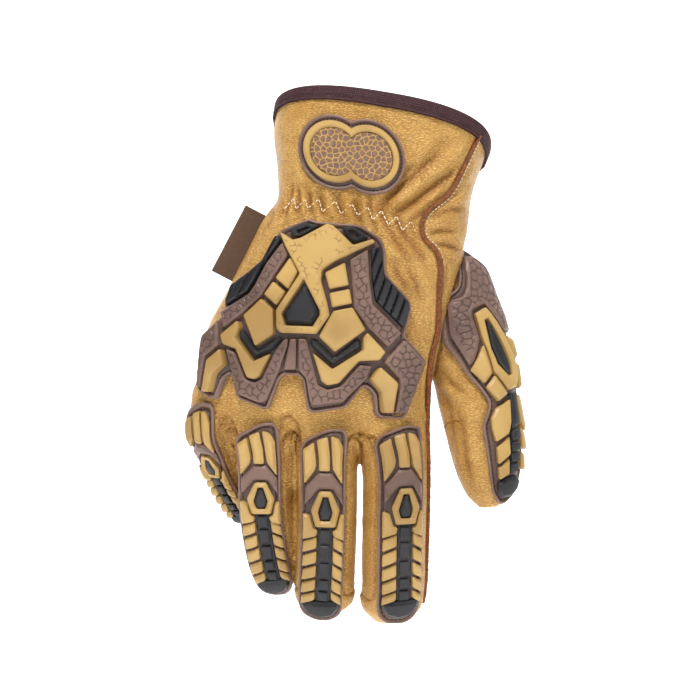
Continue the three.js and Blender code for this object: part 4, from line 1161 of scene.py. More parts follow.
@dataclass(frozen=True)
class MouldedFinish:
    """Satin moulded rubber, with painted shade in its sunken lines and channels, and painted light along its
    chamfered edges: a highlight where the edge colour is paler than the base, shade where it is darker.
    """

    name: str
    base: Colour
    edge: Colour
    hollow: Colour
    patch: float = 0.05
    roughness: float = 0.42
    line_strength: float = 0.7

    def build(self, groups: Groups) -> Material:
        """Makes the material."""
        material, w, shader = new_material(self.name)
        vector = w.add("TexCoord").outputs["Object"]
        tone = groups.toned(w, vector, (self.base, self.hollow, self.edge), self.patch)
        noise = w.noise(vector, 900.0, 3.0)
        # Painted light along the chamfered edges, broken by noise: a highlight where the edge colour is paler
        # than the base, shade where it is darker.
        edge_light_and_shade = w.math("MULTIPLY", w.mask("edge"), w.mapped(noise, 0.35, 0.65, (0.15, 0.5)))
        pale = w.mixed(edge_light_and_shade, tone, linear(self.edge))
        # Painted shade in the sunken lines and channels.
        lines = w.math("MULTIPLY", w.mask("lines"), self.line_strength)
        w.plug(shader, {
            "Base Color": w.mixed(lines, pale, linear(self.hollow)), "Specular IOR Level": 0.4,
            "Roughness": w.mapped(noise, 0.3, 0.7, (self.roughness - 0.05, self.roughness + 0.09)),
            "Normal": w.bump(noise, 0.00005, 0.6),
        })
        return material


@dataclass(frozen=True)
class VeinedFinish:
    """Two-colour moulding: raised veins of one rubber over a ground of another."""

    name: str
    ground: Colour
    vein: Colour

    def build(self, groups: Groups) -> Material:
        """Makes the material."""
        material, w, shader = new_material(self.name)
        ground, vein = linear(self.ground), linear(self.vein)
        noise = w.noise(w.add("TexCoord").outputs["Object"], 700.0)
        speckled = w.mixed(w.mapped(noise, 0.3, 0.7, (0, 0.25)), ground, vein)
        colour = w.mixed(w.mapped(w.mask("lines"), 0.35, 0.75), speckled, vein)
        w.plug(shader, {"Base Color": colour, "Roughness": 0.48})
        return material


@dataclass(frozen=True)
class WovenFinish:
    """Woven tape or label with its threads in relief."""

    name: str
    base: Colour
    high: Colour
    thread: float = 0.55
    bump: float = 0.00012

    def build(self, groups: Groups) -> Material:
        """Makes the material."""
        material, w, shader = new_material(self.name)
        uv = w.add("UVMap", uv_map="cloth").outputs[0]
        weave = w.add("Group", {"Vector": uv, "Thread": self.thread}, node_tree=groups.weave).outputs[0]
        worn = w.mapped(w.noise(uv, 0.6, 4.0), 0.25, 0.75, (0.4, 1))
        share = w.math("MULTIPLY", w.mapped(weave, 0.1, 1.0), worn)
        w.plug(shader, {
            "Base Color": w.mixed(share, linear(self.base), linear(self.high)), "Roughness": 0.75,
            "Specular IOR Level": 0.25, "Normal": w.bump(weave, self.bump),
        })
        return material


@dataclass(frozen=True)
class FibreFinish:
    """Matt fibres: raw suede, or twisted thread."""

    name: str
    base: Colour
    high: Colour
    scale: float = 1500.0
    bump: float = 0.00025

    def build(self, groups: Groups) -> Material:
        """Makes the material."""
        material, w, shader = new_material(self.name)
        vector = w.add("TexCoord").outputs["Object"]
        sockets = {"Vector": vector, "Scale": self.scale, "Detail": 4.0, "Roughness": 0.7}
        noise = w.add("TexNoise", sockets).outputs[0]
        w.plug(shader, {
            "Base Color": w.mixed(w.mapped(noise, 0.32, 0.68), linear(self.base), linear(self.high)),
            "Roughness": 0.92, "Sheen Weight": 0.15, "Normal": w.bump(noise, self.bump, 0.9),
        })
        return material


FINISHES = {
    # Leather: the crease colour draws the grain's creases and is also painted shade in the folds, knuckle
    # creases and seams.
    "leather": LeatherFinish("tan_leather", (212, 166, 92), (186, 134, 62), (226, 190, 118), (132, 78, 28)),
    # Slightly darker copy of the leather for the strips between the fingers: painted shade.
    "leather_side": LeatherFinish(
        "tan_leather_side", (208, 160, 86), (184, 132, 60), (220, 180, 108), (128, 76, 28)
    ),
    # Moulded rubbers: along the chamfers the edge colour is a painted highlight on the brown and black and
    # painted shade on the tan; the hollow colour is painted shade in the sunken lines and channels. Both are
    # also the lighter and darker tones of the mottling.
    "moulded_brown": MouldedFinish(
        "moulded_brown", (118, 92, 81), (140, 112, 100), (56, 40, 34), line_strength=0.6
    ),
    "moulded_tan": MouldedFinish("moulded_tan", (188, 154, 92), (166, 130, 72), (124, 90, 44)),
    "moulded_black": MouldedFinish("moulded_black", (33, 33, 36), (54, 54, 58), (12, 12, 13), roughness=0.44),
    "badge_ground": VeinedFinish("badge_ground", (110, 86, 76), (184, 142, 80)),
    "binding_tape": WovenFinish("plum_tape", (46, 24, 27), (98, 66, 68), 0.85),
    "side_label": WovenFinish("side_label", (82, 60, 46), (112, 86, 66), 0.8),
    "suede_edge": FibreFinish("suede_edge", (74, 36, 8), (150, 84, 30), 900.0, 0.0005),
    "pale_thread": FibreFinish("pale_thread", (226, 208, 168), (250, 240, 214), 3000.0, 0.00006),
    "dark_thread": FibreFinish("dark_thread", (44, 28, 24), (76, 52, 44), 3000.0, 0.00006),
}


# Pieces


class Bench:
    """Makes finished pieces: puts shapes into meshes, dresses them and seats them on the frame."""

    def __init__(self) -> None:
        """Builds every material."""
        groups = Groups()
        self.materials = {key: finish.build(groups) for key, finish in FINISHES.items()}

    def piece(
        self, name: str, shape: Shape, finish: str, nodes: Sequence[str] = (), sharp: float = 32.0,
        slot: str | None = None, uv: Array | None = None,
    ) -> None:
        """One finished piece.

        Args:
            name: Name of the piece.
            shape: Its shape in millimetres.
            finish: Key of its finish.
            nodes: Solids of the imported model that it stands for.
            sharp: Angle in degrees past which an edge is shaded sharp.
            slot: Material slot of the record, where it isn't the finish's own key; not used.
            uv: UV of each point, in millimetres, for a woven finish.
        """
        mesh = bpy.data.meshes.new(name)
        corners = np.concatenate([shape.tris.ravel(), shape.quads.ravel()])
        sizes = np.r_[np.full(len(shape.tris), 3), np.full(len(shape.quads), 4)]
        mesh.vertices.add(len(shape.points))
        mesh.loops.add(len(corners))
        mesh.polygons.add(len(sizes))
        mesh.vertices.foreach_set("co", (shape.points * METRES).astype(np.float32).ravel())
        mesh.loops.foreach_set("vertex_index", corners.astype(np.int32))
        mesh.polygons.foreach_set("loop_start", (np.cumsum(sizes) - sizes).astype(np.int32))
        mesh.update(calc_edges=True)
        if uv is not None:
            layer = mesh.uv_layers.new(name="cloth")
            layer.data.foreach_set("uv", uv[corners].astype(np.float32).ravel())
        for key, mask in shape.masks.items():
            attribute = mesh.attributes.new(key, "FLOAT", "POINT")
            attribute.data.foreach_set("value", mask.astype(np.float32))
        mesh.validate()
        mesh.shade_smooth()
        mesh.set_sharp_from_angle(angle=math.radians(sharp))
        mesh.materials.append(self.materials[finish])
        obj = bpy.data.objects.new(name, mesh)
        bpy.context.scene.collection.objects.link(obj)
        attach(obj, "root")
        if nodes:
            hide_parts(*nodes)
        slot or finish
        LOG.info("%s: %d triangles", name, len(shape.tris) + 2 * len(shape.quads))

    def stitches(self, name: str, shape: Shape, slot: str, finish: str = "dark_thread") -> None:
        """Stitches, as a piece in their own finish."""
        self.piece(name, shape, finish, sharp=80, slot=slot)


# Leather


def vertex_normals(points: Array, tris: Array) -> Array:
    """Normals of points, from those of their triangles weighted by area.

    Args:
        points: Points, one a row.
        tris: Triangles.

    Returns:
        A direction for each point.
    """
    a, b, c = (points[tris[:, i]] for i in range(3))
    faces = np.repeat(np.cross(b - a, c - a), 3, axis=0)
    return unit(np.stack([np.bincount(tris.ravel(), column, len(points)) for column in faces.T], axis=1))


def cut_along(
    points: Array, values: Array, tris: Array, labels: Array, field_index: int
) -> tuple[Array, Array, Array, Array]:
    """Splits triangles where one column of their corners' values changes sign.

    In a triangle with one corner alone on its side, two points are put on the crossing edges,
    where the value is 0 along each edge, and three triangles take its place.

    Args:
        points: Points, one a row.
        values: Values of the points, in columns, carried along each edge in proportion.
        tris: Triangles.
        labels: Labels of the triangles, in columns.
        field_index: Column of values to cut along, and of labels to fill with its side.

    Returns:
        New points, values, triangles and labels.
    """
    level = values[:, field_index]
    level = np.where(np.abs(level) < 1e-4, 1e-4, level)
    side = level > 0
    count = side[tris].sum(axis=1)
    whole = (count == 0) | (count == 3)
    kept, kept_labels = tris[whole], labels[whole].copy()
    kept_labels[:, field_index] = side[kept[:, 0]]
    mixed, mixed_labels = tris[~whole], labels[~whole]
    if len(mixed) == 0:
        return points, values, kept, kept_labels
    alone = side[mixed] == (count[~whole] == 1)[:, None]
    first = alone.argmax(axis=1)
    order = (first[:, None] + np.arange(3)) % 3
    a, b, c = np.take_along_axis(mixed, order, axis=1).T
    ends = np.sort(np.vstack([np.c_[a, b], np.c_[a, c]]), axis=1)
    edges, where = np.unique(ends, axis=0, return_inverse=True)
    where = where.reshape(-1)
    near, far = edges.T
    share = level[near] / (level[near] - level[far])
    new_points, new_values = (d[near] + share[:, None] * (d[far] - d[near]) for d in (points, values))
    start = len(points)
    ab, ac = start + where[: len(a)], start + where[len(a):]
    new_tris = np.vstack([np.c_[a, ab, ac], np.c_[ab, b, c], np.c_[ab, c, ac]])
    new_labels = np.vstack([mixed_labels, mixed_labels, mixed_labels])
    new_labels[:, field_index] = np.r_[side[a], side[b], side[b]]
    return (
        np.vstack([points, new_points]),
        np.vstack([values, new_values]),
        np.vstack([kept, new_tris]),
        np.vstack([kept_labels, new_labels]),
    )


@dataclass(frozen=True)
class Crease:
    """Valley or ridge in the back's leather: a polyline of the front view, its width and depth."""

    line: Outline
    width: float
    depth: float


CREASES = (
    Crease(((-44.1, -26.0), (-45.2, -35.1), (-47.1, -40.9), (-48.0, -47.5)), 1.7, 1.5),
    Crease(((-41.3, -28.3), (-40.9, -35.8), (-41.3, -40.9), (-40.2, -45.1)), 1.7, 1.5),
    Crease(((-36.8, -29.9), (-35.5, -35.8), (-35.1, -40.7), (-33.4, -45.1)), 1.8, 1.6),
    Crease(((-31.7, -31.8), (-29.9, -37.2), (-28.7, -42.4), (-26.7, -45.6)), 1.9, 1.7),
    Crease(((-22.7, -33.8), (-21.1, -39.2), (-19.9, -43.5), (-18.8, -46.3)), 1.9, 1.7),
    Crease(((-13.2, -33.8), (-12.7, -39.2), (-11.8, -44.1), (-9.2, -49.0)), 2.0, 1.8),
    Crease(((-5.4, -33.8), (-6.0, -39.7), (-4.7, -46.3), (-1.5, -54.4)), 1.9, 1.8),
    Crease(
        ((31.8, -9.2), (23.5, -17.6), (14.9, -24.9), (5.9, -32.8), (-0.5, -41.6), (2.6, -48.6),
         (5.9, -55.4), (9.8, -61.2), (15.2, -69.1)), 2.9, 2.0,
    ),
    Crease(
        ((40.9, -17.1), (32.3, -24.5), (24.0, -30.6), (14.7, -37.7), (7.1, -44.1), (9.4, -51.4),
         (13.7, -56.8), (18.6, -63.2), (22.5, -71.0)), 2.6, 2.0,
    ),
    Crease(
        ((38.7, -28.4), (31.8, -34.3), (25.2, -39.4), (19.1, -43.1), (13.7, -46.9), (15.2, -52.4),
         (18.1, -56.8)), 2.2, 1.5,
    ),
    Crease(((15.2, -17.6), (10.8, -24.0), (4.9, -30.9)), 2.2, 1.0),
    Crease(((20.6, -46.5), (28.4, -42.6), (35.8, -40.2), (41.6, -39.7)), 1.8, 1.1),
    Crease(((21.1, -53.4), (29.9, -51.4), (37.2, -51.4)), 1.8, 1.0),
    Crease(((23.5, -57.8), (32.3, -58.3), (41.2, -61.2)), 1.9, 1.0),
    Crease(((4.9, -66.2), (8.8, -75.0), (13.2, -80.8)), 2.2, 1.1),
    Crease(((9.8, -66.2), (16.2, -77.4), (18.6, -87.2)), 2.2, 1.0),
    Crease(((-49.5, -33.8), (-48.5, -39.7), (-50.5, -46.5)), 1.2, 0.7),
    Crease(((-51.7, -38.2), (-53.9, -45.1), (-58.3, -52.4)), 1.3, 0.6),
    Crease(((32.3, -66.2), (30.4, -76.9), (28.4, -84.8)), 1.5, 0.6),
    Crease(
        ((-18.9, -171.0), (-18.6, -160.7), (-17.1, -154.8), (-14.2, -151.9), (-11.3, -153.9),
         (-10.3, -157.8), (-10.3, -164.2)), 0.8, 1.0,
    ),
    Crease(
        ((-10.3, -157.8), (-8.8, -153.9), (-5.4, -151.9), (-2.5, -154.8), (-1.0, -160.7),
         (-0.5, -173.0)), 0.8, 1.0,
    ),
    Crease(
        ((-47.8, -168.1), (-48.0, -157.3), (-47.0, -151.4), (-44.1, -148.7), (-41.2, -151.4),
         (-40.7, -157.3), (-41.2, -168.1)), 0.8, 0.9,
    ),
    Crease(((-76.4, -149.4), (-74.0, -147.0), (-71.5, -149.4), (-70.6, -155.8)), 0.8, 0.8),
    Crease(((27.4, -125.9), (31.4, -133.8), (34.3, -146.0), (35.8, -160.7)), 2.0, 0.8),
    Crease(((35.8, -133.8), (39.2, -148.5), (41.2, -164.2), (45.1, -177.9)), 2.0, 0.8),
    Crease(((28.4, -120.0), (34.3, -126.4), (43.1, -132.3)), 2.0, 0.8),
)

# Broad ridges between the creases, in the same way.
RIDGES = (
    Crease(((5.8, -52.0), (38.6, -22.3)), 3.6, 1.5),
    Crease(((16.2, -50.5), (42.8, -32.7)), 3.8, 1.3),
    Crease(((4.0, -38.5), (27.4, -16.5)), 3.2, 1.2),
    Crease(((5.8, -62.4), (23.1, -59.4)), 3.8, 1.1),
    Crease(((3.5, -78.7), (22.0, -74.3)), 4.6, 1.0),
    Crease(((3.2, -48.0), (7.1, -59.5), (12.0, -70.0)), 2.2, 1.0),
    Crease(((11.3, -53.8), (15.4, -60.3), (19.4, -70.0)), 2.0, 1.0),
    Crease(((-43.8, -150.5), (-43.2, -176.0)), 2.3, 2.4),
    Crease(((-73.2, -149.0), (-71.5, -166.0)), 2.0, 1.8),
    Crease(((-11.8, -151.0), (-11.6, -158.0)), 2.0, 1.4),
)

# Zigzag of elastic stitching across the back of the wrist, as points of the front view.
GATHER = (
    (-47.1, -40.9), (-42.4, -35.6), (-41.3, -40.9), (-36.8, -36.2), (-35.7, -40.7), (-30.4, -36.2),
    (-28.7, -42.4), (-22.4, -37.3), (-19.9, -43.5), (-14.5, -38.7), (-11.8, -44.1), (-7.0, -40.1),
    (-4.7, -46.3), (-0.5, -41.8), (2.6, -48.6), (6.8, -44.6), (9.4, -51.4), (13.6, -46.9), (15.7, -51.9),
)


@dataclass
class LeatherBody:
    """The leather: one form grown from the palm, cuff and digits, then cut into its panels."""

    voxel: float = 1.0
    wall: float = 1.4
    smoothing: int = 6
    strip_edge: float = 0.72
    panels: tuple[str, ...] = (
        "back_panel", "palm_panel", "thumb_panel",
        "fourchette_index_middle", "fourchette_middle_ring", "fourchette_ring_little",
    )
    strip_spans: tuple[tuple[Digit, Digit, tuple[float, float], tuple[float, float]], ...] = (
        (INDEX, MIDDLE, (0.15, 0.88), (0.15, 0.88)),
        (MIDDLE, RING, (0.09, 0.88), (0.12, 0.88)),
        (RING, LITTLE, (0.10, 0.80), (0.10, 0.92)),
    )

    def form(self) -> Shape:
        """Overlapping closed lofts of the sleeve and the five digits."""
        turn = np.linspace(0, 2 * math.pi, 144, endpoint=False)
        drops = np.linspace(-0.06, 1.0, 90)
        parts = [lofted(SLEEVE.point(drops[:, None], turn[None], 0.0))]
        for digit in (*FINGERS, THUMB):
            downs = np.linspace(digit.rows[0][0], 1.0, 80)
            parts.append(lofted(digit.point(downs[:, None], turn[None, ::2], np.float64(0.0))))
        return joined(parts)

    def grown(self) -> tuple[Array, Array]:
        """The lofts fused and smoothed by a voxel remesh.

        Returns:
            Points and triangles.
        """
        shape = self.form()
        mesh = bpy.data.meshes.new("form")
        faces = shape.tris.tolist() + shape.quads.tolist()
        mesh.from_pydata((shape.points * METRES).tolist(), [], faces)
        obj = bpy.data.objects.new("form", mesh)
        bpy.context.scene.collection.objects.link(obj)
        remesh = obj.modifiers.new("fuse", "REMESH")
        remesh.mode = "VOXEL"
        remesh.voxel_size = self.voxel * METRES
        smooth = obj.modifiers.new("smooth", "SMOOTH")
        smooth.factor = 0.5
        smooth.iterations = self.smoothing
        result = obj.evaluated_get(bpy.context.evaluated_depsgraph_get()).to_mesh()
        points = np.zeros(len(result.vertices) * 3, np.float32)
        result.vertices.foreach_get("co", points)
        corners = np.zeros(len(result.loops), np.int32)
        result.loops.foreach_get("vertex_index", corners)
        quads = corners.reshape(-1, 4)
        bpy.data.objects.remove(obj)
        bpy.data.meshes.remove(mesh)
        tris = np.vstack([quads[:, [0, 1, 2]], quads[:, [0, 2, 3]]])
        return points.reshape(-1, 3).astype(float) / METRES, tris

    def fields(self, points: Array) -> tuple[Array, Array]:
        """Signed distances that the panels are cut along, and the strip nearest to each point.

        Args:
            points: Places, one a row.

        Returns:
            Columns over the rim, on the thumb, on a side strip and on the palm's side, and the
            number of the strip.
        """
        drop, sleeve_away, behind = SLEEVE.depth_in(points)
        rim = -drop * SLEEVE.length
        found = [digit.depth_in(points) for digit in FINGERS]
        others = np.min([sleeve_away, *(item[3] for item in found)], axis=0)
        thumb = others - THUMB.depth_in(points)[3]
        nearest = np.argmin([item[3] for item in found], axis=0)
        down, across, palmward = (np.choose(nearest, [item[k] for item in found]) for k in range(3))
        half = np.choose(nearest, [digit.width / 2 for digit in FINGERS])
        strip = np.full(len(points), -20.0)
        number = np.zeros(len(points), int)
        for i, (first, second, first_span, second_span) in enumerate(self.strip_spans):
            for digit, span, sign in ((first, first_span, -1), (second, second_span, 1)):
                mine = nearest == FINGERS.index(digit)
                sideways = (sign * across - self.strip_edge) * half
                start = (down - span[0]) * digit.length
                end = (span[1] - down) * digit.length
                level = -2.5 * np.log(
                    np.exp(-sideways / 2.5) + np.exp(-np.clip(start, -60, 60) / 2.5)
                    + np.exp(-np.clip(end, -60, 60) / 2.5)
                )
                better = mine & (level > strip)
                strip = np.where(better, level, strip)
                number = np.where(better, i, number)
        seam = np.interp(-points[:, 2], -SEAM[:, 1], SEAM[:, 0])
        on_hand = np.maximum(behind, points[:, 0] - seam)
        share = ramp(down, 0.02, 0.16) * ramp(sleeve_away, -2, 2)
        palm = on_hand * (1 - share) + palmward * share
        return np.stack([rim, thumb, strip, palm], axis=1), number

    def creased(self, points: Array, normals: Array, fields: Array) -> tuple[Array, Array]:
        """Moves points along their normals for folds, creases, pleats, seams and soft unevenness.

        A crease is a groove of Gaussian section with a low lip on each side, a ridge is a
        Gaussian swell, and a seam is a narrow groove where a field is 0. The mask paints
        shade into these hollows.

        Args:
            points: Points of the smooth form.
            normals: Their normals.
            fields: Their signed distances to the panels' borders.

        Returns:
            The moved points, and the mask of painted shade in the creases, knuckle creases and seam grooves.
        """
        front = np.clip(-normals[:, 1] * 1.6, 0, 1)
        view = points[:, [0, 2]]
        rise = np.zeros(len(points))
        valley = np.zeros(len(points))
        waver = 1 + 0.3 * lattice_noise(points, 7, SEED + 4)
        for ridge in RIDGES:
            away = polyline_distance(view, np.array(ridge.line)) / ridge.width
            rise += front * ridge.depth * np.exp(-(away**2))
        for crease in CREASES:
            line = resampled(np.array(crease.line), 1.0)
            away = polyline_distance(view, line) / (crease.width * waver)
            taper = min(12.0, 0.3 * len(line))
            ends = [ramp(np.linalg.norm(view - end, axis=1), 0, taper) for end in (line[0], line[-1])]
            fade = ends[0] * ends[1]
            cut = np.exp(-(away**2)) * (0.25 + 0.75 * fade)
            lip = 0.4 * np.exp(-((away - 2.0) ** 2)) * fade
            rise += front * 1.35 * crease.depth * (lip - cut)
            # Painted shade in the crease: a broad soft part and a narrow dark core.
            mark = 0.4 * cut + 0.5 * np.exp(-((2.4 * away) ** 2)) * (0.2 + 0.8 * fade)
            valley = np.maximum(valley, front * mark * min(1.0, 0.8 * crease.depth))
        near_seam = 1 - ramp(polyline_distance(view, SEAM), 1.0, 5.0)
        rise *= 1 - near_seam * (front > 0)
        drop = -points[:, 2] / SLEEVE.length
        turn = np.arctan2(-(points[:, 1] + 8), points[:, 0] + 6)
        at_wrist = np.exp(-(((drop - 0.31) / 0.06) ** 2))
        pleats = np.cos(turn * 34 + 1.5 * lattice_noise(points, 14, SEED)) * at_wrist
        rise += 0.45 * pleats * (1 - front)
        for digit in FINGERS:
            down, _, palmward, away = digit.depth_in(points)
            mine = (away < 4) * ramp(palmward, 1, 6)
            for knuckle in (0.2, 0.52, 0.76):
                cut = np.exp(-(((down - knuckle) * digit.length / 1.5) ** 2)) * mine
                rise -= 0.7 * cut
                # Painted shade in the knuckle crease.
                valley = np.maximum(valley, 0.4 * cut)
        _, thumb, strip, palm = fields.T
        for border, on_panel, width, depth, dark in (
            (thumb, True, 1.1, 0.9, 0.6), (strip, True, 0.7, 0.7, 0.45), (palm, strip < 0.5, 0.8, 0.6, 0.5),
        ):
            level = np.abs(border)
            cut = np.exp(-((level / width) ** 2)) * on_panel
            rise += depth * (0.5 * np.exp(-(((level - 2.2 * width) / width) ** 2)) * on_panel - cut)
            # Painted shade along the seam groove.
            valley = np.maximum(valley, dark * cut)
        near_strip = np.exp(-(((np.abs(strip) - 2.2) / 1.8) ** 2))
        rise += 0.1 * near_strip * np.sin(points[:, 2] * 2.3 + 2 * lattice_noise(points, 6, SEED + 1))
        rise += 0.28 * lattice_noise(points, 13, SEED + 2) + 0.1 * lattice_noise(points, 4.5, SEED + 3)
        return points + normals * rise[:, None], np.clip(valley, 0, 1)

    def build(self, bench: Bench) -> None:
        """Makes each panel, with its thickness, and gives it its grain."""
        points, tris = self.grown()
        fields, number = self.fields(points)
        normals = vertex_normals(points, tris)
        points, valley = self.creased(points, normals, fields)
        normals = vertex_normals(points, tris)
        values = np.hstack([fields, number[:, None], valley[:, None], normals])
        labels = np.zeros((len(tris), 4), bool)
        for column in range(4):
            points, values, tris, labels = cut_along(points, values, tris, labels, column)
        _, number, valley, normals = np.split(values, (4, 5, 6), axis=1)
        over_rim, on_thumb, on_strip, on_palm = labels.T
        strip = np.round(number[tris, 0].mean(axis=1)).astype(int)
        kind = np.where(on_thumb, 2, np.where(on_strip, 3 + strip, np.where(on_palm, 1, 0)))
        for index, name in enumerate(self.panels):
            shape = self.walled(points, normals, valley[:, 0], tris[~over_rim & (kind == index)])
            # The strips between the fingers take the slightly darker leather: painted shade.
            finish = "leather_side" if name.startswith("fourchette") else "leather"
            bench.piece(name.replace("_panel", "_leather"), shape, finish, [name], sharp=48)

    def walled(self, points: Array, normals: Array, valley: Array, tris: Array) -> Shape:
        """A panel given its thickness inwards, with walls along its open edges.

        Args:
            points: All points.
            normals: Their normals.
            valley: Their mask of painted shade.
            tris: The panel's triangles.

        Returns:
            The closed panel.
        """
        used, inverse = np.unique(tris, return_inverse=True)
        faces = inverse.reshape(-1, 3)
        outer, out = points[used], unit(normals[used])
        count = len(used)
        inner = outer - out * self.wall
        edges = np.vstack([faces[:, [0, 1]], faces[:, [1, 2]], faces[:, [2, 0]]])
        forward = edges[:, 0].astype(np.int64) * count + edges[:, 1]
        backward = edges[:, 1].astype(np.int64) * count + edges[:, 0]
        open_edges = edges[~np.isin(forward, backward)]
        a, b = open_edges.T
        return Shape(
            np.vstack([outer, inner]),
            np.vstack([faces, faces[:, ::-1] + count]),
            np.stack([b, a, a + count, b + count], axis=1),
            {"valley": np.r_[valley[used], np.zeros(count)]},
        )


# Guards


